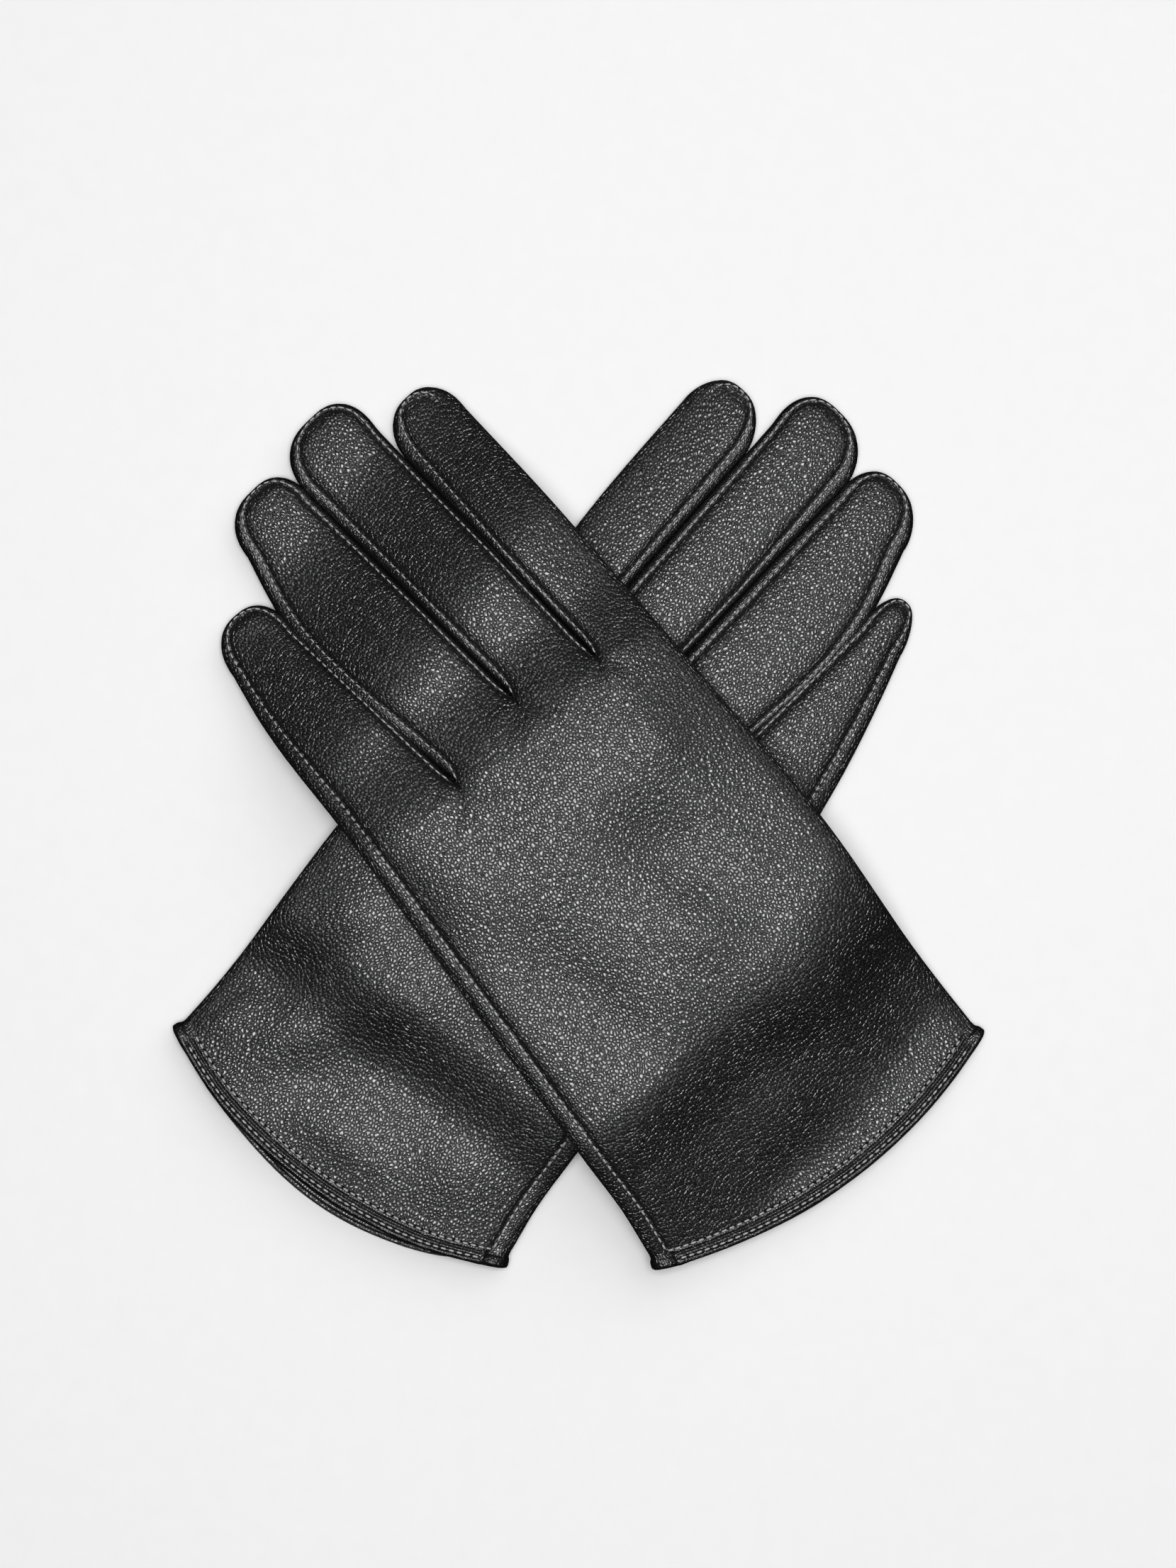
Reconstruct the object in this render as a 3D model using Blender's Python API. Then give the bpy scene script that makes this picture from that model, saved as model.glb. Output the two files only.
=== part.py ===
"""A pair of men's leather dress gloves, the left glove laid across the right one.

Both gloves lie with the back of the hand up, so a pair of hands could be slid in from below.
Every glove is drawn flat in its own frame, in millimetres: u runs across the hand towards the
index finger, v runs from the cuff to the fingertips with v = 0 at the finger crotches, and z is
the height above whatever the glove lies on.  place() then turns it, and drapes the left glove
over the right one.  The right glove is the mirror image of the left.

Pieces of one glove, as a glover would cut them: the trank (back and palm in one piece, folded at
the index finger and seamed at the little finger), three forks, the side strips of the fingers,
a thumb, a hem binding, and a lining that is a thin glove of its own.  The trank, the forks and
the lining are cut across each finger at its middle knuckle, where the finger folds.
"""
import math

import bmesh
import bpy
import numpy as np
from mathutils import Vector

MM = 0.001

# Thicknesses, in millimetres.
LEATHER = 0.9
LINING = 0.5
CLEARANCE = 0.35            # air between neighbouring pieces
HAND_THICK = 8.4            # a glove lying empty, back to palm
THUMB_THICK = 3.8           # the flat thumb under the palm
LINING_DEPTH = LEATHER + CLEARANCE
HEM_THICK = LEATHER + CLEARANCE + LINING
HEM_WIDTH = 6.0

# Outline of the left hand: (v, u) points along each edge of each finger.  The outer edges of the
# little and index fingers run on down the hand to the cuff.
EDGES = {
    "little": {"left": [(-156, -54.6), (-52, -51.3), (0, -50.2), (40, -50.4), (54, -48.8)],
               "right": [(-7, -18.5), (54, -28.3)]},
    "ring": {"left": [(-7, -18.5), (60, -29.2), (78, -26.2)], "right": [(2, 7.3), (80, -3.4)]},
    "middle": {"left": [(2, 7.3), (84, -3.9)], "right": [(-3, 31.2), (80, 22.3)]},
    "index": {"left": [(-3, 31.2), (80, 22.3)],
              "right": [(-156, 51.2), (-75, 53.0), (-20, 50.4), (36, 47.2), (74, 43.8)]},
}
FINGERS = ("little", "ring", "middle", "index")
TIP = {"little": 63.6, "ring": 87.6, "middle": 93.4, "index": 82.0}
KNUCKLE = {"little": 25.4, "ring": 39.0, "middle": 42.7, "index": 36.0}
CROTCHES = {("little", "ring"): (-18.5, -7.0), ("ring", "middle"): (7.3, 2.0),
            ("middle", "index"): (31.2, -3.0)}
OUTER_CROTCH = -6.0         # height of the crotch line at the two edges of the hand
HAND_HALF = 50.0
SPLITS_AT_CUFF = {("little", "ring"): -21.0, ("ring", "middle"): 6.0, ("middle", "index"): 30.5}
CUFF_APEX = (3.0, -155.6)
CUFF_RADIUS = 135.0
TIP_CAP = 13.0              # length of the rounded fingertip
TIP_BLUNT = 0.5             # share of width and height left at the very tip

# Corner widths: how far the seam on the back lies inside the edge of the finger.
FORK_WIDTH = 2.3
FORK_AT_CROTCH = 1.3
FORK_OPENING = 15.0         # a fork has its full width this far above the crotch
FORK_STATIONS = (0.03, 0.25, 0.6, 1.0)      # shares of the way from the crotch to the knuckle
CROTCH_MARGIN = 0.7         # extra room for the fork's bend, beside the trank
THINNEST_FORK = 0.05
FOLD_WIDTH = HAND_THICK / 2
ROLL_WIDTH = 5.0            # palm leather rolled up to the outer seam of the little finger
SLIT_BELOW_CROTCH = 3.6     # the trank's slit starts this far below the fork's bend
SLIT_FIRST_ROW = 4.0

# Thumb: a flat pouch that turns about the middle of its hole in the palm.
THUMB_HINGE = (26.0, -76.0)
THUMB_LENGTH = 50.0
THUMB_BASE_RADIUS = 12.5
THUMB_TIP_RADIUS = 9.0
THUMB_HOLE_RADIUS = 8.0
THUMB_ROUNDING = 1.2        # its edge is rounded over this width
THUMB_LEATHER = 0.72
THUMB_LINING = 0.35
THUMB_TIP_STEPS = 6
THUMB_BASE_STEPS = 9
THUMB_TUCKED_DEG = 25.0     # leaning from the hand's length towards the little finger
PALM_RISE = THUMB_THICK + CLEARANCE
RISE_START, RISE_LENGTH = -122.0, 22.0      # the palm climbs onto the thumb from v = -122
FALL_START, FALL_LENGTH = -11.0, 26.0       # and comes down again below the fingers

# Lay of the pair.
TURN_DEG = 37.5
GLOVE_ORIGIN = (-22.2, 28.4)
FINGER_STRAIGHTEN = {"left": 0.0, "right": 0.035}
DRAPE_LENGTH = 52.0
DRAPE_EDGES = (-57.0, 55.0)
STACK = HAND_THICK + PALM_RISE + CLEARANCE

SKEW_HEIGHT = 70.0          # how far up a finger its lean is measured
CREASE_DEG = 40.0           # edges sharper than this stay sharp

HAND_ROWS = 7
STUB_ROWS = (0.0, 0.45, 1.0)
FINGER_ROWS = (0.0, 0.33, 0.67, 1.0)
CAP_ROWS = (0.5, 0.85, 1.0)
COLUMNS = 2
ARC_STEPS = 4
FORK_STEPS = 4
EMPTY_SIZE = 0.01           # metres


def smooth_step(x):
    """0 below x = 0, 1 above x = 1, and a smooth rise between."""
    x = min(max(x, 0.0), 1.0)
    return x * x * (3 - 2 * x)


def mix(a, b, t):
    return a + (b - a) * t


def edge(finger, side, v):
    points = EDGES[finger][side]
    return float(np.interp(v, [p[0] for p in points], [p[1] for p in points]))


def across(side, u, v):
    """The (x, y) place in millimetres of a point of one glove."""
    u = u + FINGER_STRAIGHTEN[side] * max(v, 0.0)
    c, s = math.cos(math.radians(TURN_DEG)), math.sin(math.radians(TURN_DEG))
    x = GLOVE_ORIGIN[0] + u * c - v * s
    y = GLOVE_ORIGIN[1] + u * s + v * c
    return (x, y) if side == "left" else (-x, y)


def drape(x, y):
    """Height of the left glove's underside: up over the right glove, down to the table beyond."""
    c, s = math.cos(math.radians(TURN_DEG)), math.sin(math.radians(TURN_DEG))
    over = (-x - GLOVE_ORIGIN[0]) * c + (y - GLOVE_ORIGIN[1]) * s
    outside = max(DRAPE_EDGES[0] - over, over - DRAPE_EDGES[1], 0.0)
    return STACK * (1 - smooth_step(outside / DRAPE_LENGTH))


def palm_rise(v):
    """The palm lies on its thumb in the middle of the hand, and on the table elsewhere."""
    climb = smooth_step((v - RISE_START) / RISE_LENGTH)
    return PALM_RISE * climb * (1 - smooth_step((v - FALL_START) / FALL_LENGTH))


def place(side, u, v, z):
    """A point of a glove, draped and in world millimetres."""
    x, y = across(side, u, v)
    lift = drape(x, y) if side == "left" else 0.0
    return (x, y, z + lift + palm_rise(v))


# ---------------------------------------------------------------------------------------------
# Shells: matching outer and inner points, joined into one closed solid.

class Shell:
    def __init__(self, side):
        self.side = side
        self.outer, self.inner, self.faces, self.known = [], [], [], {}

    def vertex(self, out, inn):
        key = tuple(round(c, 3) for c in out)
        if key not in self.known:
            self.known[key] = len(self.outer)
            self.outer.append(out)
            self.inner.append(inn)
        return self.known[key]

    def patch(self, outer, inner):
        """A grid of points, given as rows.  All layers split their squares along the same diagonal,
        so that a layer never pokes through the next one where the glove is draped."""
        rows = [[self.vertex(o, i) for o, i in zip(ro, ri)] for ro, ri in zip(outer, inner)]
        for low, high in zip(rows, rows[1:]):
            for k in range(len(low) - 1):
                for face in ([low[k], low[k + 1], high[k + 1]], [low[k], high[k + 1], high[k]]):
                    if len(set(face)) == 3:
                        self.faces.append(face)

    def cap(self, outer, inner):
        self.faces.append([self.vertex(o, i) for o, i in zip(outer, inner)])

    def build(self, name, material):
        count = len(self.outer)
        mesh = bpy.data.meshes.new(name)
        work = bmesh.new()
        for u, v, z in self.outer + self.inner:
            work.verts.new([c * MM for c in place(self.side, u, v, z)])
        work.verts.ensure_lookup_table()
        used = {}
        for face in self.faces:
            for a, b in zip(face, face[1:] + face[:1]):
                used.setdefault(frozenset((a, b)), []).append((a, b))
        for face in self.faces:
            work.faces.new([work.verts[p] for p in face])
            work.faces.new([work.verts[p + count] for p in reversed(face)])
        for pairs in used.values():
            if len(pairs) == 1:
                a, b = pairs[0]
                work.faces.new([work.verts[p] for p in (b, a, a + count, b + count)])
        loose = [p for p in work.verts if not p.link_faces]
        bmesh.ops.delete(work, geom=loose, context="VERTS")
        bmesh.ops.recalc_face_normals(work, faces=work.faces)
        work.to_mesh(mesh)
        work.free()
        mesh.set_sharp_from_angle(angle=math.radians(CREASE_DEG))
        thing = bpy.data.objects.new(name, mesh)
        bpy.context.scene.collection.objects.link(thing)
        thing.data.materials.append(material)
        return thing


def make_material(name, colour, roughness):
    material = bpy.data.materials.new(name)
    material.use_nodes = True
    shader = material.node_tree.nodes["Principled BSDF"]
    shader.inputs["Base Color"].default_value = (*colour, 1.0)
    shader.inputs["Roughness"].default_value = roughness
    return material


# ---------------------------------------------------------------------------------------------
# Rows of the glove.  A row of one finger's column is (a, b, v_at, half, middle): the strip's end
# places in u, its v at any u, and the half height and middle height of the glove there.

def crotch_curve(u):
    places = [-HAND_HALF] + [c[0] for c in CROTCHES.values()] + [HAND_HALF]
    heights = [OUTER_CROTCH] + [c[1] for c in CROTCHES.values()] + [OUTER_CROTCH]
    return float(np.interp(u, places, heights)) - SLIT_BELOW_CROTCH


def cuff_curve(u):
    return CUFF_APEX[1] + (u - CUFF_APEX[0]) ** 2 / (2 * CUFF_RADIUS)


def corner_width(finger, side):
    if finger == "little" and side == "left":
        return ROLL_WIDTH
    if finger == "index" and side == "right":
        return FOLD_WIDTH
    return None


def finger_skew(finger):
    """Rows lie square to the finger, which leans a little towards the little finger."""
    low, high = ((edge(finger, "left", v) + edge(finger, "right", v)) / 2 for v in (0, SKEW_HEIGHT))
    return (low - high) / SKEW_HEIGHT


def split(pair, share):
    """The line between two fingers' columns, from the cuff to their crotch."""
    return mix(SPLITS_AT_CUFF[pair], CROTCHES[pair][0], share)


def hand_row(finger, share, start, inset=0.0):
    v = mix(CUFF_APEX[1], 0.0, share)
    a = edge(finger, "left", v) + (corner_width(finger, "left") or 0.0)
    b = edge(finger, "right", v) - (corner_width(finger, "right") or 0.0)
    for pair in CROTCHES:
        if finger == pair[1]:
            a = split(pair, share)
        if finger == pair[0]:
            b = split(pair, share)

    def v_at(u):
        return mix(cuff_curve(u) + start, crotch_curve(u), share) - (inset if share == 1 else 0)

    return a, b, v_at, HAND_THICK / 2


def stub_row(finger, share, inset=0.0):
    """From just past the crotch (share 0) to the cut at the knuckle (share 1)."""
    gap = inset + (FORK_AT_CROTCH + CROTCH_MARGIN if share == 0.0 else FORK_WIDTH + CLEARANCE)
    start = SLIT_FIRST_ROW - SLIT_BELOW_CROTCH
    ends = []
    for side, inward in (("left", 1), ("right", -1)):
        beside = [c for pair, c in CROTCHES.items() if finger == pair[inward > 0]]
        low = (beside[0][1] if beside else OUTER_CROTCH) + start
        v = mix(low, KNUCKLE[finger], share)
        ends.append(edge(finger, side, v) + inward * (corner_width(finger, side) or gap))
    a, b = ends
    centre, skew = (a + b) / 2, finger_skew(finger)

    def v_at(u):
        low = crotch_curve(u) + SLIT_FIRST_ROW - inset
        return mix(low, KNUCKLE[finger] + skew * (u - centre), share)

    return a, b, v_at, HAND_THICK / 2


def finger_row(finger, share, cap, depth, gap):
    """From the cut at the knuckle to the tip; cap runs from 0 to 1 over the rounded end."""
    v = mix(KNUCKLE[finger] + CLEARANCE, TIP[finger] - TIP_CAP, share) + TIP_CAP * cap
    blunt = mix(TIP_BLUNT, 1.0, math.sqrt(1 - cap * cap))
    left, right = edge(finger, "left", v), edge(finger, "right", v)
    centre, half_width = (left + right) / 2, (right - left) / 2 * blunt
    a = centre - half_width + (corner_width(finger, "left") or gap) * blunt
    b = centre + half_width - (corner_width(finger, "right") or gap) * blunt
    skew = finger_skew(finger)

    def v_at(u):
        return v - depth * cap + skew * (u - centre)

    return a, b, v_at, HAND_THICK / 2 * blunt


def strip_points(row, depth, face):
    """Points across the back (face +1) or the palm (face -1) of one row."""
    a, b, v_at, half = row
    z = HAND_THICK / 2 + face * (half - depth)
    places = [mix(a, b, k / COLUMNS) for k in range(COLUMNS + 1)]
    return [(u, v_at(u), z) for u in places]


def corner_points(row, side, width, depth, steps):
    """The rounded wall of one row, from the back seam round to the palm seam."""
    a, b, v_at, half = row
    foot, out = (a, -1) if side == "left" else (b, 1)
    points = []
    for k in range(steps + 1):
        turn = math.pi / 2 - math.pi * k / steps
        bulge = (width - depth) * math.cos(turn) if width > depth else 0.0
        u = foot + out * bulge
        points.append((u, v_at(foot), HAND_THICK / 2 + (half - depth) * math.sin(turn)))
    return points


def add_strips(shell, outer_rows, inner_rows, depth, thick):
    for face in (1, -1):
        shell.patch([strip_points(r, depth, face) for r in outer_rows],
                    [strip_points(r, depth + thick, face) for r in inner_rows])


def add_corner(shell, outer_rows, inner_rows, side, width, depth, thick, steps=ARC_STEPS):
    shell.patch([corner_points(r, side, width, depth, steps) for r in outer_rows],
                [corner_points(r, side, width, depth + thick, steps) for r in inner_rows])


def seam_gap(row):
    """Moves the back's edge away from the outer seam of the little finger."""
    a, b, v_at, half = row
    return a + CLEARANCE, b, v_at, half


# ---------------------------------------------------------------------------------------------
# Leather pieces.

def hand_rows(finger, inset=0.0):
    start = HEM_WIDTH + CLEARANCE
    rows = [hand_row(finger, j / HAND_ROWS, start, inset) for j in range(HAND_ROWS + 1)]
    return rows + [stub_row(finger, share, inset) for share in STUB_ROWS]


def trank_hand(side, leather):
    shell = Shell(side)
    for finger in FINGERS:
        rows = hand_rows(finger)
        if finger == "little":
            back = [seam_gap(r) for r in rows]
            shell.patch([strip_points(r, 0.0, 1) for r in back],
                        [strip_points(r, LEATHER, 1) for r in back])
            shell.patch([strip_points(r, 0.0, -1) for r in rows],
                        [strip_points(r, LEATHER, -1) for r in rows])
            add_corner(shell, rows, rows, "left", ROLL_WIDTH, 0.0, LEATHER)
        else:
            add_strips(shell, rows, rows, 0.0, LEATHER)
        if finger == "index":
            add_corner(shell, rows, rows, "right", FOLD_WIDTH, 0.0, LEATHER)
    return shell.build(f"{side}_trank_hand", leather)


def finger_rows(finger, depth, gap):
    rows = [finger_row(finger, share, 0.0, depth, gap) for share in FINGER_ROWS]
    return rows + [finger_row(finger, 1.0, cap, depth, gap) for cap in CAP_ROWS]


def trank_finger(side, finger, leather):
    """Back and palm of a finger beyond the knuckle, joined over the tip."""
    shell = Shell(side)
    gap = FORK_WIDTH + CLEARANCE
    outer, inner = finger_rows(finger, 0.0, gap), finger_rows(finger, LEATHER, gap)
    shift = seam_gap if finger == "little" else (lambda row: row)
    shell.patch([strip_points(shift(r), 0.0, 1) for r in outer],
                [strip_points(shift(r), LEATHER, 1) for r in inner])
    shell.patch([strip_points(r, 0.0, -1) for r in outer],
                [strip_points(r, LEATHER, -1) for r in inner])
    ends = []
    for rows, depth in ((outer, 0.0), (inner, LEATHER)):
        ring = strip_points(shift(rows[-1]), depth, 1)
        if finger == "index":
            ring += corner_points(rows[-1], "right", FOLD_WIDTH, depth, ARC_STEPS)[1:-1]
        ring += strip_points(rows[-1], depth, -1)[::-1]
        if finger == "little":
            ring += corner_points(rows[-1], "left", ROLL_WIDTH, depth, ARC_STEPS)[-2::-1]
        ends.append(ring)
    if finger == "index":
        add_corner(shell, outer, inner, "right", FOLD_WIDTH, 0.0, LEATHER)
    if finger == "little":
        add_corner(shell, outer, inner, "left", ROLL_WIDTH, 0.0, LEATHER)
    shell.cap(*ends)
    return shell.build(f"{side}_trank_{finger}", leather)


def side_strip(side, finger, edge_side, neighbour, leather):
    """The fourchette along one side of a finger, beyond the knuckle."""
    shell = Shell(side)
    outer = finger_rows(finger, 0.0, FORK_WIDTH)
    inner = finger_rows(finger, LEATHER, FORK_WIDTH)
    width = FORK_WIDTH - CLEARANCE / 2
    walls = [[corner_points(r, edge_side, width, depth, FORK_STEPS) for r in rows]
             for rows, depth in ((outer, 0.0), (inner, LEATHER))]
    shell.patch(*walls)
    shell.cap(walls[0][-1], walls[1][-1])
    return shell.build(f"{side}_fourchette_{finger}_by_{neighbour}", leather)


def fork_path(pair):
    """Stations (u, v, toward) down one finger's seam, round the crotch and up the next one's."""
    low, high = pair
    crotch_u, crotch_v = CROTCHES[pair]
    stations = []

    def run(finger, sign):
        skew = finger_skew(finger)
        edge_side = "right" if sign < 0 else "left"
        top = KNUCKLE[finger]
        found = []
        for share in FORK_STATIONS:
            v = mix(crotch_v, top, share)
            half = mix(FORK_AT_CROTCH, FORK_WIDTH, smooth_step((v - crotch_v) / FORK_OPENING))
            u = edge(finger, edge_side, v) + sign * half
            centre = (edge(finger, "left", v) + edge(finger, "right", v)) / 2
            found.append((u, v + skew * (u - centre) * share, half, (-sign, 0.0)))
        return found

    stations += run(low, -1)[::-1]
    for k in range(FORK_STEPS + 1):
        turn = math.pi + math.pi * k / FORK_STEPS
        out = (math.cos(turn), math.sin(turn))
        stations.append((crotch_u + FORK_AT_CROTCH * out[0], crotch_v + FORK_AT_CROTCH * out[1],
                         FORK_AT_CROTCH, (-out[0], -out[1])))
    stations += run(high, 1)
    return stations


def fork(side, pair, leather):
    """The V-shaped gusset between two fingers, from knuckle to crotch to knuckle."""
    shell = Shell(side)
    grids = []
    for depth in (0.0, LEATHER):
        rows = []
        for u, v, half, toward in fork_path(pair):
            reach = max(half - CLEARANCE / 2 - depth, THINNEST_FORK)
            row = []
            for k in range(FORK_STEPS + 1):
                turn = math.pi / 2 - math.pi * k / FORK_STEPS
                bulge = reach * math.cos(turn)
                z = HAND_THICK / 2 + (HAND_THICK / 2 - depth) * math.sin(turn)
                row.append((u + toward[0] * bulge, v + toward[1] * bulge, z))
            rows.append(row)
        grids.append(rows)
    shell.patch(*grids)
    return shell.build(f"{side}_fork_{pair[0]}_{pair[1]}", leather)


def hem_binding(side, leather):
    """The bound edge of the cuff: a closed ring beyond the trank and the lining."""
    shell = Shell(side)
    for finger in FINGERS:
        rows = []
        for start in (0.0, HEM_WIDTH):
            rows.append(hand_row(finger, 0.0, start))
        add_strips(shell, rows, rows, 0.0, HEM_THICK)
        if finger == "little":
            add_corner(shell, rows, rows, "left", ROLL_WIDTH, 0.0, HEM_THICK)
        if finger == "index":
            add_corner(shell, rows, rows, "right", FOLD_WIDTH, 0.0, HEM_THICK)
    return shell.build(f"{side}_hem_binding", leather)


# ---------------------------------------------------------------------------------------------
# Lining: a thin glove inside the leather one.

def lining_hand(side, fabric):
    shell = Shell(side)
    deep = LINING_DEPTH
    for finger in FINGERS:
        outer, inner = hand_rows(finger), hand_rows(finger, LINING)
        add_strips(shell, outer, inner, deep, LINING)
        for edge_side in ("left", "right"):
            width = corner_width(finger, edge_side)
            if width:
                add_corner(shell, outer, inner, edge_side, width, deep, LINING)
            else:
                add_corner(shell, outer[HAND_ROWS:], inner[HAND_ROWS:], edge_side, 0.0, deep, LINING)
    return shell.build(f"{side}_lining_hand", fabric)


def lining_finger(side, finger, fabric):
    shell = Shell(side)
    gap = FORK_WIDTH + CLEARANCE
    deep = LINING_DEPTH
    outer = finger_rows(finger, deep, gap)
    inner = finger_rows(finger, deep + LINING, gap + LINING)
    add_strips(shell, outer, inner, deep, LINING)
    rings = [[], []]
    for n, (rows, depth) in enumerate(((outer, deep), (inner, deep + LINING))):
        walls = {s: corner_points(rows[-1], s, corner_width(finger, s) or 0.0, depth, ARC_STEPS)
                 for s in ("left", "right")}
        rings[n] = (strip_points(rows[-1], depth, 1) + walls["right"][1:-1]
                    + strip_points(rows[-1], depth, -1)[::-1] + walls["left"][-2:0:-1])
    for edge_side in ("left", "right"):
        width = corner_width(finger, edge_side) or 0.0
        add_corner(shell, outer, inner, edge_side, width, deep, LINING)
    shell.cap(*rings)
    return shell.build(f"{side}_lining_{finger}", fabric)


# ---------------------------------------------------------------------------------------------
# Thumb.

def thumb_outline(depth):
    """Points round two circles and their tangents, seen from the hinge along the thumb."""
    base, tip = THUMB_BASE_RADIUS - depth, THUMB_TIP_RADIUS - depth
    slope = math.asin((base - tip) / THUMB_LENGTH)
    points = []
    for k in range(THUMB_TIP_STEPS + 1):
        turn = mix(-(math.pi / 2 - slope), math.pi / 2 - slope, k / THUMB_TIP_STEPS)
        points.append((THUMB_LENGTH + tip * math.cos(turn), tip * math.sin(turn)))
    for k in range(THUMB_BASE_STEPS + 1):
        turn = mix(math.pi / 2 - slope, 1.5 * math.pi + slope, k / THUMB_BASE_STEPS)
        points.append((base * math.cos(turn), base * math.sin(turn)))
    return points


def thumb_ring(points, share, z):
    """One closed ring of the pouch, between the hole and the outline."""
    lean = math.radians(90 + THUMB_TUCKED_DEG)
    ring = []
    for x, y in points:
        far = math.hypot(x, y)
        hole = min(THUMB_HOLE_RADIUS, far) / far
        scale = mix(hole, 1.0, share)
        px, py = x * scale, y * scale
        u = THUMB_HINGE[0] + px * math.cos(lean) - py * math.sin(lean)
        v = THUMB_HINGE[1] + px * math.sin(lean) + py * math.cos(lean)
        ring.append((u, v, z))
    return ring + ring[:1]


def thumb_pouch(side, name, depth, thick, material):
    shell = Shell(side)
    grids, centres = [], []
    for d in (depth, depth + thick):
        points = thumb_outline(d)
        inner_points = thumb_outline(d + THUMB_ROUNDING)
        low = d - PALM_RISE
        high = THUMB_THICK - d - PALM_RISE
        middle = THUMB_THICK / 2 - PALM_RISE
        grids.append([thumb_ring(inner_points, 0.0, high), thumb_ring(inner_points, 1.0, high),
                      thumb_ring(points, 1.0, middle), thumb_ring(inner_points, 1.0, low),
                      thumb_ring(inner_points, 0.0, low)])
        centres.append((*THUMB_HINGE, low))
    shell.patch(*grids)
    centre = shell.vertex(*centres)
    last = [shell.vertex(o, i) for o, i in zip(grids[0][-1], grids[1][-1])]
    for a, b in zip(last, last[1:]):
        shell.faces.append([a, b, centre])
    return shell.build(f"{side}_{name}", material)


def cut_thumb_hole(side, things):
    """A round hole through the palm's leather and lining, above the mouth of the thumb."""
    x, y, z = place(side, *THUMB_HINGE, 0.0)
    bpy.ops.mesh.primitive_cylinder_add(vertices=16, radius=THUMB_HOLE_RADIUS * MM,
                                        depth=HAND_THICK * MM, location=(x * MM, y * MM, z * MM))
    cutter = bpy.context.object
    cutter.name = f"{side}_thumb_hole_cutter"
    cutter.hide_render = True
    cutter.display_type = "WIRE"
    for thing in things:
        cut = thing.modifiers.new("thumb_hole", "BOOLEAN")
        cut.operation = "DIFFERENCE"
        cut.solver = "EXACT"
        cut.object = cutter


# ---------------------------------------------------------------------------------------------

def knuckle_hinge(side, finger):
    """Middle and direction of the fold across a finger, on the surface of its back."""
    a, b, v_at, half = stub_row(finger, 1.0)
    left, right = (np.array(place(side, u, v_at(u), HAND_THICK)) for u in (a, b))
    direction = (right - left) / np.linalg.norm(right - left)
    return (left + right) / 2, direction if side == "left" else -direction


def joint_empty(name, centre, direction, parent=None):
    """An empty on a joint, with its own Z along the joint's axis."""
    empty = bpy.data.objects.new(name, None)
    bpy.context.scene.collection.objects.link(empty)
    empty.empty_display_size = EMPTY_SIZE
    empty.location = [c * MM for c in centre]
    empty.rotation_euler = Vector(direction).to_track_quat("Z", "Y").to_euler()
    if parent:
        hang(empty, parent)
    return empty


def hang(thing, parent):
    """Parents a thing and leaves it where it is."""
    bpy.context.view_layer.update()
    thing.parent = parent
    thing.matrix_parent_inverse = parent.matrix_world.inverted()


def build_glove(side, leather, palm_leather, fabric):
    up = (0.0, 0.0, 1.0)
    glove = joint_empty(f"{side}_glove_joint", place(side, 0.0, 0.0, 0.0), up)
    fingers = {f: joint_empty(f"{side}_{f}_knuckle_joint", *knuckle_hinge(side, f), glove)
               for f in FINGERS}
    thumb = joint_empty(f"{side}_thumb_joint", place(side, *THUMB_HINGE, 0.0), up, glove)

    hand = trank_hand(side, leather)
    lining = lining_hand(side, fabric)
    cut_thumb_hole(side, (hand, lining))
    for thing in (hand, lining, hem_binding(side, palm_leather)):
        hang(thing, glove)
    for pair in CROTCHES:
        hang(fork(side, pair, palm_leather), glove)
        hang(side_strip(side, pair[0], "right", pair[1], palm_leather), fingers[pair[0]])
        hang(side_strip(side, pair[1], "left", pair[0], palm_leather), fingers[pair[1]])
    for finger in FINGERS:
        hang(trank_finger(side, finger, leather), fingers[finger])
        hang(lining_finger(side, finger, fabric), fingers[finger])
    hang(thumb_pouch(side, "thumb", 0.0, THUMB_LEATHER, leather), thumb)
    hang(thumb_pouch(side, "lining_thumb", LEATHER, THUMB_LINING, fabric), thumb)


def clear_scene():
    for thing in list(bpy.data.objects):
        bpy.data.objects.remove(thing)


def main():
    clear_scene()
    leather = make_material("black_nappa", (0.018, 0.018, 0.020), 0.38)
    strips = make_material("black_nappa_strips", (0.015, 0.015, 0.017), 0.33)
    fabric = make_material("black_lining", (0.012, 0.012, 0.013), 0.85)
    for side in ("right", "left"):
        build_glove(side, leather, strips, fabric)


main()
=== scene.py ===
# %% [markdown]
# # A crossed pair of black leather dress gloves
# The real object is a pair of unworn men's gloves in black nappa, laid down backs up, the left
# glove across the right one.  Each glove is cut from thin leather: one piece wraps the back and
# the palm, narrow forks of the same leather fill the sides of the fingers, a bound hem closes the
# cuff and a thin lining sits inside.  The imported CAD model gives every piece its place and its
# hinges.  Here each piece is built again as soft leather that keeps to that frame.
#
# The way chosen is direct mesh work.  An empty glove is a shallow, nearly flat shape with seams
# in exact places, so a grid of points that follows the cutting pattern gives cleaner leather than
# a cloth simulation would, and the seams can be sunk and puckered where the needle went.

import math

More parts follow.
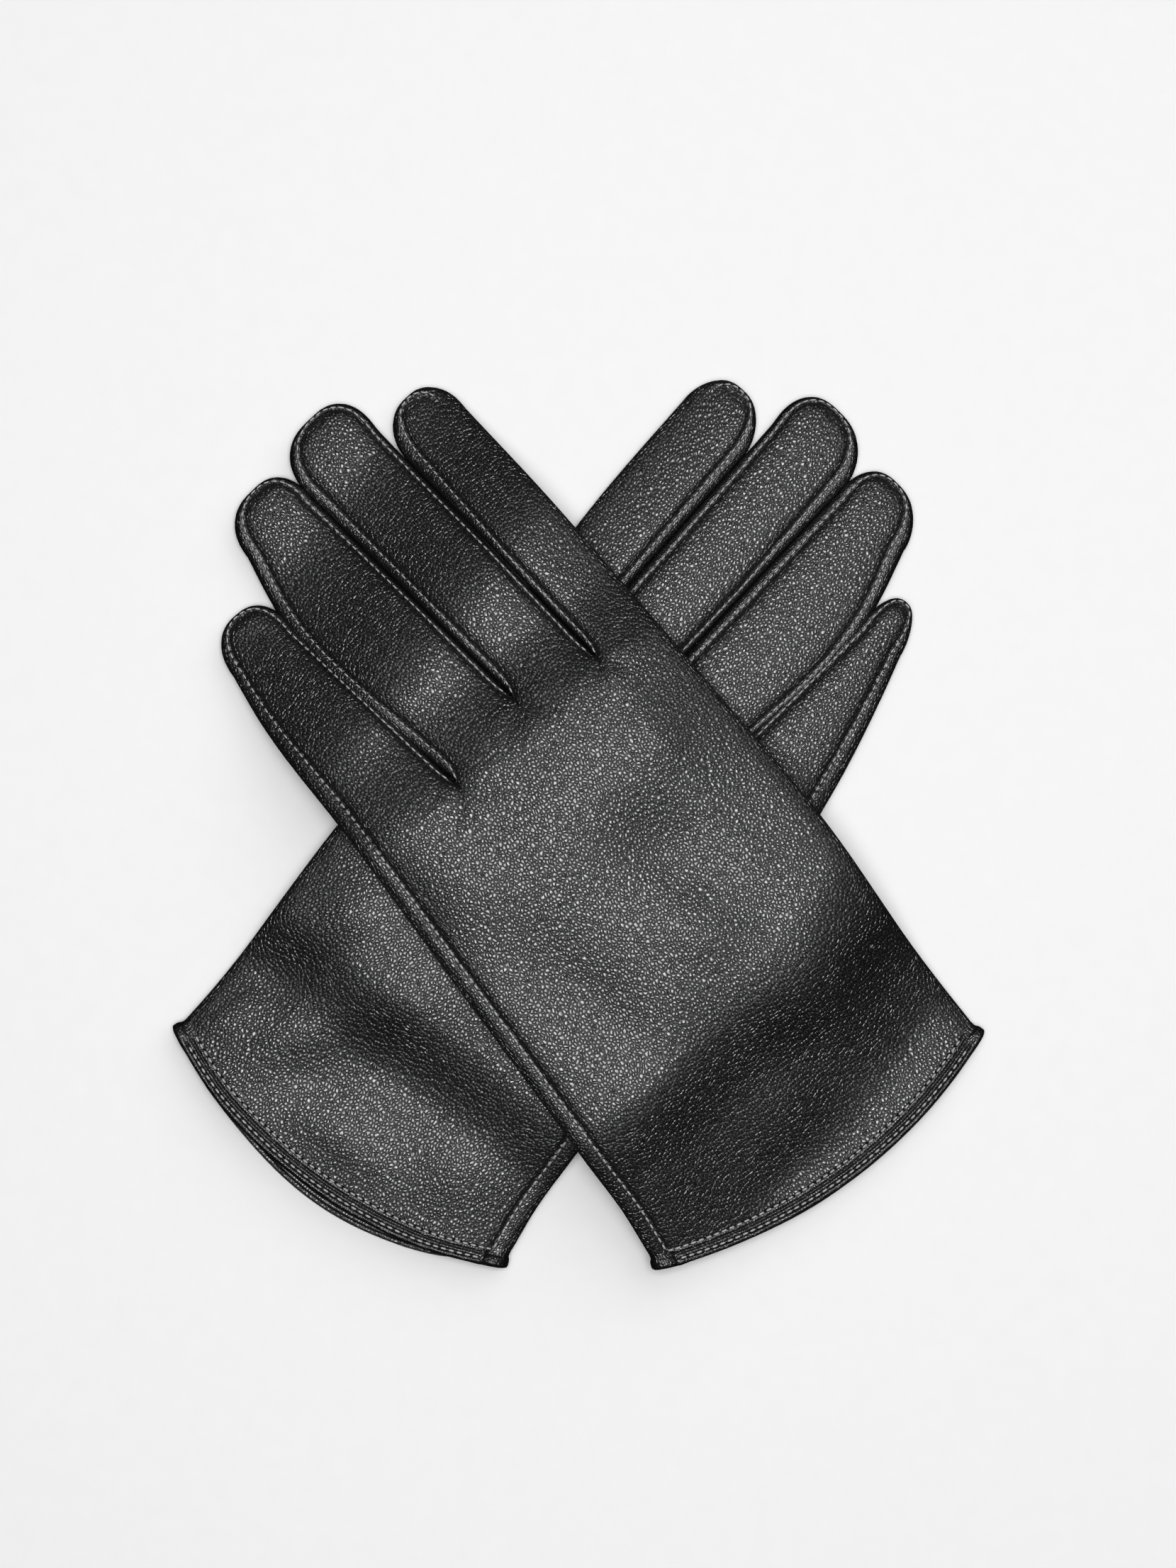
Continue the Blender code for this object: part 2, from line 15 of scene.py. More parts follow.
import bpy
import numpy as np
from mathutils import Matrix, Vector


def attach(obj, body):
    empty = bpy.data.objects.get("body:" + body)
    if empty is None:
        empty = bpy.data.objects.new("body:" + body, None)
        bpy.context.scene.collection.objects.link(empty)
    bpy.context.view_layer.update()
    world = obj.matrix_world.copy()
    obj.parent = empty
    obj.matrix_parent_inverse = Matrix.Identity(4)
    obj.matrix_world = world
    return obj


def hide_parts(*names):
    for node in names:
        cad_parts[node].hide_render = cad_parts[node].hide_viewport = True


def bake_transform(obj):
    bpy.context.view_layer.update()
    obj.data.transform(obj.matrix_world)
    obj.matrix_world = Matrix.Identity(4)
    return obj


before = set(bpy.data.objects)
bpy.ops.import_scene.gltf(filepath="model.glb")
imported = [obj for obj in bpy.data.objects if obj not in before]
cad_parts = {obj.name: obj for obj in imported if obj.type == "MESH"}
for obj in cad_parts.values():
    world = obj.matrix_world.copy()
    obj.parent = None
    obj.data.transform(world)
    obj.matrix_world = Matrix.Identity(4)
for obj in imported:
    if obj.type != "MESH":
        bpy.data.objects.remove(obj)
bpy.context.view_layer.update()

# %% [markdown]
# ## The pattern
# A glover draws a glove flat, so the pattern is kept flat too, in millimetres: u runs across the
# hand towards the index finger, v runs from the cuff to the fingertips with 0 at the crotches
# between the fingers, and z is the height above what the glove lies on.  Most of the numbers are
# the ones the CAD model was made from, so the leather lands on the CAD solids without any fitting.
# The outer edges, the fingertips and the cuff follow the real gloves a few millimetres closer.

# %% Outline of one glove
MM = 0.001
FINGERS = ("little", "ring", "middle", "index")
OUTLINE = {
    "little": {"left": [(-156, -55.9), (-140, -54.6), (-127, -53.1), (-108, -52.5), (-52, -51.3),
                        (0, -50.2), (40, -50.4), (54, -48.8)],
               "right": [(-7, -18.5), (54, -28.3)]},
    "ring": {"left": [(-7, -18.5), (60, -29.2), (78, -26.2)], "right": [(2, 7.3), (80, -3.4)]},
    "middle": {"left": [(2, 7.3), (84, -3.9)], "right": [(-3, 31.2), (80, 22.3)]},
    "index": {"left": [(-3, 31.2), (80, 22.3)],
              "right": [(-156, 52.2), (-110, 51.7), (-75, 53.0), (-20, 50.5), (36, 47.4),
                        (74, 44.2)]},
}
RIGHT_OUTLINE = {            # a slimmer little finger, and a folded side that flares at the cuff
    ("little", "left"): [(-156, -55.9), (-140, -54.6), (-127, -53.1), (-108, -52.5), (-52, -51.3),
                         (-10, -50.2), (20, -47.8), (40, -44.6), (54, -41.8)],
    ("index", "right"): [(-156, 54.2), (-130, 52.1), (-75, 52.1), (-20, 50.2), (10, 49.8), (36, 48.8),
                         (74, 45.2)],
}
FINGERTIP = {"little": 65.3, "ring": 89.2, "middle": 95.0, "index": 83.8}
KNUCKLE = {"little": 25.4, "ring": 39.0, "middle": 42.7, "index": 36.0}
CROTCHES = {("little", "ring"): (-18.5, -7.0), ("ring", "middle"): (7.3, 2.0),
            ("middle", "index"): (31.2, -3.0)}
OUTER_CROTCH = -6.0         # height of the crotch line at the two edges of the hand
HAND_HALF = 50.0
SPLITS_AT_CUFF = {("little", "ring"): -21.0, ("ring", "middle"): 6.0, ("middle", "index"): 30.5}
CUFF_APEX = (3.0, -155.6)
CUFF_RADIUS = 135.0
CUFF_LONGER = {"left": 0.0, "right": 1.3}
CUFF_PEEK = {"left": (0.9, -12.0, 26.0), "right": (3.3, -8.0, 34.0)}   # height, place and width in u
LONGER_FADE = (54.0, 24.0)  # the longer cuff fades out at this u, over this width
PEEK_FADE = (50.0, 12.0)
print("length of one glove, cuff to middle fingertip:", FINGERTIP["middle"] - CUFF_APEX[1], "mm")

# %% Thicknesses and seams
LEATHER = 0.8               # soft glove leather
LINING = 0.4
HAND_THICK = 8.4            # an empty glove, back to palm
TIP_THIN = 1.0              # how much thinner the glove is at the fingertips
SEAM_SINK = 2.2             # how far a sewn edge lies below the crown of the back
SEAM_SHOULDER = 1.7         # width of the rounded shoulder beside a seam
FOLD_SINK = 2.0             # the index side is folded, and only rounds over
FOLD_SHOULDER = 24.0
HEM_WIDTH = 5.6
ROLL_WIDTH = 5.0            # palm leather rolled up to the little finger's outer seam
FOLD_WIDTH = 4.2
TIP_CAP = 13.0              # length of a rounded fingertip
TIP_SEAM = 1.3              # the seam over the tip lies this far inside the outline
ROLL_LOSS = 0.35            # share of its width that the roll loses on its way up the little finger
ROLL_LOSS_FROM, ROLL_LOSS_OVER = 10.0, 50.0
V_OPENING = 8.0             # a fork reaches its full width this far above the crotch
FORK_WIDTHS = {             # visible width of each side strip: near the crotch, midway, at the tip
    "left": {("little", "right"): (1.9, 1.9, 2.2), ("ring", "left"): (3.0, 4.0, 3.8),
             ("ring", "right"): (1.9, 1.9, 2.4), ("middle", "left"): (2.4, 3.0, 3.4),
             ("middle", "right"): (1.8, 1.8, 2.2), ("index", "left"): (2.2, 2.4, 4.2)},
    "right": {("little", "right"): (1.8, 2.2, 2.4), ("ring", "left"): (2.2, 2.8, 4.4),
              ("ring", "right"): (2.6, 3.0, 2.8), ("middle", "left"): (2.0, 2.2, 4.2),
              ("middle", "right"): (2.2, 2.6, 2.4), ("index", "left"): (2.2, 3.0, 3.8)},
}

# %% How the pair lies
TURN = math.radians(37.5)
GLOVE_ORIGIN = (-22.2, 28.4)
STRAIGHTER_FINGERS = {"left": 0.0, "right": 0.035}
THUMB_HINGE = (26.0, -76.0)
THUMB_THICK = 3.8
PALM_RISE = 4.15            # the thumb lifts the palm this far
RISE_AT_CUFF = (-122.0, 22.0)    # the palm climbs from this v, over this length
RISE_AT_FINGERS = (-11.0, 26.0)
STACK = 12.9                # the upper glove lies this far above the table
DRAPE_LENGTH = 52.0         # and comes down to it over this length
DRAPE_EDGES = (-57.0, 55.0)
SIDES = ("right", "left")


def smooth(x):
    x = np.clip(x, 0.0, 1.0)
    return x * x * (3 - 2 * x)


def mix(a, b, t):
    return a + (b - a) * t


def curve_through(points, at):
    """A smooth line through a few measured (v, u) points."""
    v = np.array([p[0] for p in points], float)
    u = np.array([p[1] for p in points], float)
    slope = np.gradient(u, v)
    at = np.clip(np.asarray(at, float), v[0], v[-1])
    k = np.clip(np.searchsorted(v, at, "right") - 1, 0, len(v) - 2)
    gap = v[k + 1] - v[k]
    t = (at - v[k]) / gap
    return ((2 * t**3 - 3 * t**2 + 1) * u[k] + (t**3 - 2 * t**2 + t) * gap * slope[k]
            + (3 * t**2 - 2 * t**3) * u[k + 1] + (t**3 - t**2) * gap * slope[k + 1])


def side_of(glove, finger, side, v):
    points = OUTLINE[finger][side]
    if glove == "right":
        points = RIGHT_OUTLINE.get((finger, side), points)
    return curve_through(points, v)


def on_table(side, u, v):
    """The flat pattern, turned and moved to where this glove lies, in millimetres."""
    u = u + STRAIGHTER_FINGERS[side] * np.maximum(v, 0.0)
    x = GLOVE_ORIGIN[0] + u * math.cos(TURN) - v * math.sin(TURN)
    y = GLOVE_ORIGIN[1] + u * math.sin(TURN) + v * math.cos(TURN)
    return (x if side == "left" else -x), y


def drape(x, y):
    """The left glove climbs over the right one and falls to the table beyond it."""
    over = (-x - GLOVE_ORIGIN[0]) * math.cos(TURN) + (y - GLOVE_ORIGIN[1]) * math.sin(TURN)
    outside = np.maximum(np.maximum(DRAPE_EDGES[0] - over, over - DRAPE_EDGES[1]), 0.0)
    return STACK * (1 - smooth(outside / DRAPE_LENGTH))


def palm_rise(v):
    """The palm rests on its thumb in the middle of the hand."""
    (low, climb), (high, fall) = RISE_AT_CUFF, RISE_AT_FINGERS
    return PALM_RISE * smooth((v - low) / climb) * (1 - smooth((v - high) / fall))


def place(side, points):
    """Pattern points (u, v, z) in millimetres become places in the room, in metres."""
    points = np.asarray(points, float)
    u, v, z = points[..., 0], points[..., 1], points[..., 2]
    x, y = on_table(side, u, v)
    lift = drape(x, y) if side == "left" else 0.0
    return np.stack([x, y, z + lift + palm_rise(v)], -1) * MM


print("left wrist at", np.round(place("left", [3.0, -155.0, 0.0]) * 1000, 1), "mm")

# %% [markdown]
# ## Rows and columns of leather
# Each finger is one column of the pattern that runs from the cuff up to the fingertip.  Below the
# crotches the columns share their borders, so the back of the hand is one smooth sheet.  Above
# them the borders part and the forks fill the gap.  The points stand close together beside a seam,
# where the leather turns sharply, and further apart on the open back.

# %% Spacing of the grid
ROW_STEP = 1.9
EDGE_STEPS = (0.0, 0.35, 0.8, 1.35, 2.05, 2.95, 4.1, 5.5)
OPEN_STEP = 1.75
FIRST_ROWS = (0.45, 1.1, 1.9, 2.9, 4.1, 5.5, 7.1)
TYPICAL_CROTCH = -4.0       # rows of a finger are counted from here
LEAN_HEIGHT = 70            # a finger's lean is measured over this length
STRIPS_TOGETHER = 4         # width that the two side strips take from a finger's outline
CAP_ROWS = 9
TIP_TURN = 0.8              # share of the rounded tip that its two sides take up
TIP_FULLNESS = {"left": 1.9, "right": 1.0}     # above 1 a fork stays wide further round the tip
TIP_SQUARE = 2.4            # 2 is a round fingertip, and more is squarer


def shares_across(width):
    """Column places from 0 to 1: close together at both borders."""
    middle = width / 2
    steps = [s for s in EDGE_STEPS if s < middle - 1]
    count = max(1, round((middle - steps[-1]) / OPEN_STEP))
    half = steps + list(np.linspace(steps[-1], middle, count + 1)[1:])
    half = np.array(half) / width
    return np.concatenate([half, 1 - half[-2::-1]])


def cuff_line(glove, u):
    arc = CUFF_APEX[1] + (u - CUFF_APEX[0]) ** 2 / (2 * CUFF_RADIUS)
    return arc - CUFF_LONGER[glove] * smooth((LONGER_FADE[0] - np.abs(u)) / LONGER_FADE[1])


def palm_peeks(glove, u):
    """The palm's edge of the cuff shows a little beyond the back's."""
    most, middle, width = CUFF_PEEK[glove]
    inside = smooth((PEEK_FADE[0] - np.abs(u)) / PEEK_FADE[1])
    return most * np.exp(-((u - middle) / width) ** 2) * inside


def crotch_line(u):
    places = [-HAND_HALF] + [c[0] for c in CROTCHES.values()] + [HAND_HALF]
    heights = [OUTER_CROTCH] + [c[1] for c in CROTCHES.values()] + [OUTER_CROTCH]
    return np.interp(u, places, heights)


def crotch_beside(finger, side):
    """The crotch at one side of a finger, or None at the outside of the hand."""
    for (low, high), spot in CROTCHES.items():
        if (finger, side) in ((low, "right"), (high, "left")):
            return spot
    return None


def strip_width(glove, finger, side, v):
    """Distance from the finger's outline in to the edge of its back strip."""
    if (finger, side) == ("little", "left"):
        return ROLL_WIDTH * (1 - ROLL_LOSS * smooth((v - ROLL_LOSS_FROM) / ROLL_LOSS_OVER))
    if (finger, side) == ("index", "right"):
        return FOLD_WIDTH
    start = crotch_beside(finger, side)[1]
    end = FINGERTIP[finger] - TIP_CAP
    near, middle, far = FORK_WIDTHS[glove][(finger, side)]
    along = np.clip((v - start) / (end - start), 0, 1)
    full = np.interp(along, [0.0, 0.5, 1.0], [near, middle, far])
    opening = np.clip((v - start) / V_OPENING, 0, 1)
    return full * np.sqrt(1 - (1 - opening) ** 2)


def lean(glove, finger):
    """Rows lie square to the finger, which leans towards the little finger."""
    low, high = ((side_of(glove, finger, "left", v) + side_of(glove, finger, "right", v)) / 2
                 for v in (0, LEAN_HEIGHT))
    return float(low - high) / LEAN_HEIGHT


def hand_grid(glove, finger, across, v_shares, start):
    """Pattern places of one column of the hand, from the cuff (0) to the crotches (1)."""
    rows = []
    for share in v_shares:
        v = mix(cuff_line(glove, -HAND_HALF) + start, OUTER_CROTCH, share)
        left = side_of(glove, "little", "left", v) + ROLL_WIDTH
        right = side_of(glove, "index", "right", v) - FOLD_WIDTH
        for pair, spot in CROTCHES.items():
            border = mix(SPLITS_AT_CUFF[pair], spot[0], share)
            if finger == pair[1]:
                left = border
            if finger == pair[0]:
                right = border
        u = mix(left, right, across)
        rows.append(np.stack([u, mix(cuff_line(glove, u) + start, crotch_line(u), share)], -1))
    return np.array(rows)


def finger_grid(glove, finger, across, step):
    """Pattern places of one finger's back strip, from its crotches to the seam over the tip.
    A coarse grid does without the closest of the first rows."""
    tip_start = FINGERTIP[finger] - TIP_CAP
    length = tip_start - TYPICAL_CROTCH
    climbs = [0.0] + [r for r in FIRST_ROWS if step < 3 or r > 2]
    climbs += list(np.arange(climbs[-1] + step, length - step / 2, step)) + [length]
    tilt = lean(glove, finger)
    starts = [(crotch_beside(finger, s) or (0, OUTER_CROTCH))[1] for s in ("left", "right")]
    rows = []
    for climb in np.array(climbs) / length:
        v_left, v_right = (mix(s, tip_start, climb) for s in starts)
        left = side_of(glove, finger, "left", v_left) + strip_width(glove, finger, "left", v_left)
        right = side_of(glove, finger, "right", v_right) - strip_width(glove, finger, "right", v_right)
        u = mix(left, right, across)
        square = tip_start + tilt * (u - (left + right) / 2)
        rows.append(np.stack([u, mix(mix(starts[0], starts[1], across), square, climb)], -1))
    centre, half = (left + right) / 2, (right - left) / 2
    reach = TIP_CAP - TIP_SEAM
    corner = (1 - TIP_TURN**TIP_SQUARE) ** (1 / TIP_SQUARE)
    s = across * 2 - 1
    top = (1 - np.abs(s * corner) ** TIP_SQUARE) ** (1 / TIP_SQUARE) / TIP_TURN
    for t in np.arange(1, CAP_ROWS + 1) / CAP_ROWS:
        turn = TIP_TURN * t
        u = centre + s * half * (1 - turn**TIP_SQUARE) ** (1 / TIP_SQUARE)
        v = tip_start + reach * turn * mix(1.0, top, t)
        rows.append(np.stack([u, v + tilt * (u - centre)], -1))
    return np.array(rows), len(climbs)


widths = {f: float(side_of("left", f, "right", 0) - side_of("left", f, "left", 0)) - STRIPS_TOGETHER
          for f in FINGERS}
print("width of each back strip in mm:", {f: round(w, 1) for f, w in widths.items()})

# %% [markdown]
# ## The height of the leather
# An empty glove still holds a little air.  Its back is a low crown that rounds down into each
# seam, drops into a small hollow where two fingers part, and rises and falls a millimetre or so in
# soft waves that the tissue paper and the folding left behind.  Those waves are what the light
# shows on black leather, so each one is listed one by one: where it is, how long, and how high.

# %% Waves in the leather: (u, v, length across, length along, turn in degrees, height)
WAVES = {
    "left": [(8, -28, 34, 20, 15, 1.6), (31, -29, 8, 9, 0, 0.8), (17, -56, 11, 15, 30, -1.5),
             (-26, -74, 10, 26, 12, -1.3), (-6, -106, 17, 12, 30, -1.6), (26, -84, 16, 12, -25, -0.9),
             (0, -130, 12, 10, 20, 1.5), (24, -116, 10, 12, -20, 1.5), (36, -134, 9, 9, 0, -0.8),
             (-12, -143, 14, 6, 10, -0.9), (-26, -124, 9, 12, 0, -0.8), (38, -62, 10, 18, 8, -0.9),
             (-34, -28, 9, 16, 10, 0.7), (10, -78, 8, 12, 45, 0.9)],
    "right": [(38, -112, 8, 17, 30, -1.3), (25, -124, 7, 14, 30, 0.9), (45, -134, 5, 10, 30, 0.8),
              (14, -132, 8, 14, 40, -0.8), (-10, -112, 18, 14, 0, -0.8), (34, -92, 9, 9, 0, 1.0),
              (-30, -128, 12, 12, 20, 1.0), (0, -141, 16, 6, 0, 0.8), (8, -100, 10, 12, 30, 0.9)],
}
WAVE_FADE = 6.0             # waves die out this close to a seam
PUCKER_COUNT = 5
PUCKER_PLACE = 5.0          # distance of the pleats from the crotch
PUCKER_LENGTH = 6.0
PUCKER_HEIGHT = 0.22
FOLD_POWER = 2.2            # higher keeps the folded side level for longer
FAR_FROM_SEAM = 30.0        # stands for leather with no seam near it
OUTER_SLOPE = {"finger": 11.0, "hand": 20.0}     # how far in the outer seam pulls the back down
SLOPE_CHANGE = 40.0
PALM_SHARE = 0.86           # the palm rounds up a little less than the back rounds down


def dome(x):
    """A quarter circle: steep at 0, level at 1."""
    return np.sqrt(1 - (1 - np.clip(x, 0, 1)) ** 2)


def sewn_drop(distance, half_width):
    """How far the leather lies below its crown at a distance from a seam."""
    return SEAM_SINK * (1 - 0.5 * dome(distance / SEAM_SHOULDER) - 0.5 * dome(distance / half_width))


def waves(side, u, v):
    height = np.zeros_like(u)
    for u0, v0, wide, long, turn, tall in WAVES[side]:
        c, s = math.cos(math.radians(turn)), math.sin(math.radians(turn))
        du, dv = (u - u0) * c + (v - v0) * s, -(u - u0) * s + (v - v0) * c
        height += tall * np.exp(-(du / wide) ** 2 - (dv / long) ** 2)
    return height


def puckers(u, v):
    """Short pleats that fan out from each crotch, where the fork pulls on the hand."""
    height = np.zeros_like(u)
    for spot in CROTCHES.values():
        du, dv = u - spot[0], v - spot[1]
        away = np.hypot(du, dv)
        fan = np.cos(PUCKER_COUNT * np.arctan2(du, -dv)) * (dv < 1)
        height += PUCKER_HEIGHT * fan * np.exp(-((away - PUCKER_PLACE) / PUCKER_LENGTH) ** 2)
    return height


def crown_height(v, finger):
    """Thickness of the glove: full over the hand, a little thinner towards each fingertip."""
    return HAND_THICK - TIP_THIN * smooth(v / FINGERTIP[finger])


def back_and_palm(side, finger, grid, first_finger_row, tip_row):
    """Heights of the back and of the palm over one column's grid, and the nearest seam."""
    u, v = grid[..., 0], grid[..., 1]
    left, right = u[:, :1], u[:, -1:]
    half = np.maximum((right - left) / 2, 4.0)
    total = np.zeros_like(u)
    seam = np.full_like(u, FAR_FROM_SEAM)
    is_hand = np.arange(len(u))[:, None] < first_finger_row
    for edge, name in ((left, "left"), (right, "right")):
        distance = np.abs(u - edge)
        spot = crotch_beside(finger, name)
        if (finger, name) == ("index", "right"):
            drop = FOLD_SINK * np.clip(1 - distance / FOLD_SHOULDER, 0, 1) ** FOLD_POWER
        elif spot is None:
            slope = mix(OUTER_SLOPE["finger"], OUTER_SLOPE["hand"], smooth(-v / SLOPE_CHANGE))
            drop = sewn_drop(distance, slope)
            seam = np.minimum(seam, distance)
        else:
            below = np.where(is_hand, np.maximum(spot[1] - v, 0.0), 0.0)
            away = np.hypot(distance, below)
            drop = sewn_drop(away, half)
            seam = np.minimum(seam, np.where(is_hand, away, distance))
        total = total + drop**2
    if tip_row is not None:
        end = grid[-1:, :, 1]
        to_tip = np.maximum(end - v, 0.0)
        total = total + np.where(to_tip < TIP_CAP, sewn_drop(to_tip, TIP_CAP), 0.0) ** 2
        seam = np.minimum(seam, to_tip)
    drop = np.minimum(np.sqrt(total), SEAM_SINK)
    crown = crown_height(v, finger)
    relief = (waves(side, u, v) + puckers(u, v)) * smooth(seam / WAVE_FADE)
    return crown - drop * crown / HAND_THICK + relief, drop * PALM_SHARE, seam


# %% [markdown]
# ## Skins
# A skin is one sheet of leather as a list of points and faces.  Points that share a place are one
# point, so light runs over the joins without a break, even where a finger is a piece of its own.
# `cut_piece` takes the faces of one piece, gives them the thickness of leather and the light
# directions of the whole skin, and makes the Blender object.

# %% Skin
TINY = 1e-12                # keeps a direction of no length from dividing by nothing


class Skin:
    def __init__(self, side):
        self.side = side
        self.points, self.seam, self.known = [], [], {}
        self.faces, self.tags, self.cloth = [], [], []

    def point(self, place_at, seam):
        key = tuple(np.round(place_at, 3))
        if key not in self.known:
            self.known[key] = len(self.points)
            self.points.append(tuple(place_at))
            self.seam.append(seam)
        return self.known[key]

    def sheet(self, points, grain, seam, tag_of_row, turned=False):
        """Faces over a grid of points.  turned sheets face down, as a palm does.  Each corner of a
        face keeps its own place on the hide, because two sheets meet at a seam."""
        ids = [[self.point(points[i, j], seam[i, j]) for j in range(points.shape[1])]
               for i in range(points.shape[0])]
        for i in range(len(ids) - 1):
            tag = tag_of_row(i)
            for j in range(len(ids[0]) - 1):
                around = [(i, j), (i, j + 1), (i + 1, j + 1), (i + 1, j)]
                around = [c for k, c in enumerate(around)
                          if ids[c[0]][c[1]] != ids[around[k - 1][0]][around[k - 1][1]]]
                if turned:
                    around = around[::-1]
                face = [ids[a][b] for a, b in around]
                if len(set(face)) >= 3:
                    self.faces.append(face)
                    self.tags.append(tag)
                    self.cloth.append([(*grain[c], seam[c]) for c in around])

    def finish(self):
        """World places, and the direction each point faces."""
        self.world = place(self.side, np.array(self.points))
        if self.side == "right":
            self.turn_over()
        self.face_out()

    def turn_over(self):
        self.faces = [f[::-1] for f in self.faces]
        self.cloth = [c[::-1] for c in self.cloth]

    def swell(self, heights):
        """Moves each point out of the leather by its height in millimetres, but not into the table."""
        self.world = self.world + self.facing * np.array(heights)[:, None] * MM
        self.world[:, 2] = np.maximum(self.world[:, 2], 0.0)
        self.face_out()

    def face_out(self):
        self.facing = np.zeros_like(self.world)
        for face in self.faces:
            p = self.world[face]
            area = np.cross(p[1] - p[0], p[2] - p[0])
            if len(face) == 4:
                area = area + np.cross(p[2] - p[0], p[3] - p[0])
            self.facing[face] += area
        self.facing /= np.maximum(np.linalg.norm(self.facing, axis=1, keepdims=True), TINY)


def cut_piece(skin, tag, name, material, thick, inset=0.0):
    """One closed piece of the skin: outside, inside and cut edge."""
    faces, cloths = zip(*[(f, c) for f, c, t in zip(skin.faces, skin.cloth, skin.tags) if t == tag])
    used = sorted({p for f in faces for p in f})
    index = {p: k for k, p in enumerate(used)}
    count = len(used)
    facing = skin.facing[used]
    outer = skin.world[used] - facing * inset * MM
    inner = skin.world[used] - facing * (inset + thick) * MM
    sides, polys, normals, cloth = {}, [], [], []
    for face, on_hide in zip(faces, cloths):
        ids = [index[p] for p in face]
        polys.append(ids)
        normals += [facing[k] for k in ids]
        cloth += on_hide
        for k, (a, b) in enumerate(zip(ids, ids[1:] + ids[:1])):
            after = on_hide[(k + 1) % len(ids)]
            sides.setdefault(frozenset((a, b)), []).append((a, b, on_hide[k], after))
    for face, on_hide in zip(faces, cloths):
        ids = [index[p] + count for p in reversed(face)]
        polys.append(ids)
        normals += [-facing[k - count] for k in ids]
        cloth += on_hide[::-1]
    for pairs in sides.values():
        if len(pairs) == 1:
            a, b, hide_a, hide_b = pairs[0]
            polys.append([b, a, a + count, b + count])
            flat = np.cross(outer[a] - outer[b], inner[a] - outer[b])
            normals += [flat / max(np.linalg.norm(flat), TINY)] * 4
            cloth += [hide_b, hide_a, hide_a, hide_b]
    mesh = bpy.data.meshes.new(name)
    mesh.from_pydata(np.concatenate([outer, inner]).tolist(), [], polys)
    mesh.update()
    cloth = np.array(cloth, float)
    grain = mesh.attributes.new("grain", "FLOAT_VECTOR", "CORNER")
    grain.data.foreach_set("vector", cloth[:, :3].ravel())
    seam = mesh.attributes.new("seam", "FLOAT", "CORNER")
    seam.data.foreach_set("value", cloth[:, 3].copy())
    mesh.shade_smooth()
    mesh.normals_split_custom_set([tuple(n) for n in normals])
    thing = bpy.data.objects.new(name, mesh)
    bpy.context.scene.collection.objects.link(thing)
    thing.data.materials.append(material)
    return thing


# %% [markdown]
# ## The sides of the fingers
# The edge of a back strip is a path that climbs one side of the finger, turns over the tip and
# comes down the other side.  A band hangs from that path to the same path on the palm.  Its bulge
# is the fork between two fingers, the roll of palm leather along the little finger, or the plain
# fold along the index finger.  One formula makes all three: at a sewn edge the band starts inside
# its own bulge, so a groove forms, and at a fold it starts on its shoulder and no groove shows.

# %% Bands
SEWN = 122.0                # degrees round the bulge where a sewn edge starts
FOLDED = 65.0
STITCHES_FROM = 100.0       # an edge that starts this far round is sewn through
NEARLY_SEWN = 5.0
FOLD_END_RATE, FOLD_END_DELAY = 1.6, 0.6    # how the fold becomes a seam round the fingertip
BAND_STEPS = 7
THINNEST_BAND = 0.02
SEAM_GAP = 0.08             # two bands that meet keep this far apart
HAND_LENGTH = 150.0         # the rows of the hand are spread over about this length
PEEK_LENGTH = 0.25          # share of the hand over which the palm's longer edge fades out
FOLD_REACH = 11.0           # a finger's side strips start this far below its knuckle
COARSE_COLUMNS, COARSE_BAND_STEPS = 7, 2
# Every sheet is cut from its own place on the hide, so that no two show the same grain.
HIDE_PLACE = {"palm": 200.0, "hem on the back": 500.0, "hem on the palm": 600.0,
              "hem at the sides": 700.0, "top of the thumb": 800.0, "bottom of the thumb": 900.0}


def band(path, back_z, palm_z, reach, start_turn, end_turn, slope, steps=BAND_STEPS):
    """Points from the back edge round to the palm edge, for each place along the path.
    slope shears the band with the rows of the hand, so the cuff's arc runs on round the edge."""
    ahead = np.gradient(path, axis=0)
    ahead /= np.maximum(np.linalg.norm(ahead, axis=1, keepdims=True), 1e-9)
    out = np.stack([-ahead[:, 1], ahead[:, 0]], -1)
    middle = (back_z + palm_z) / 2
    rows = []
    for n in range(2 * steps + 1):
        if n <= steps:
            first, rim, share = start_turn, back_z, 1 - n / steps
        else:
            first, rim, share = end_turn, palm_z, n / steps - 1
        first = np.radians(first)
        turn = first * share
        offset = reach * (np.cos(turn) - np.cos(first)) / (1 - np.cos(first))
        z = middle + (rim - middle) * np.sin(turn) / np.sin(first)
        flat = path + out * offset[:, None]
        flat[:, 1] += slope * out[:, 0] * offset
        rows.append(np.concatenate([flat, z[:, None]], 1))
    return np.array(rows).transpose(1, 0, 2), out


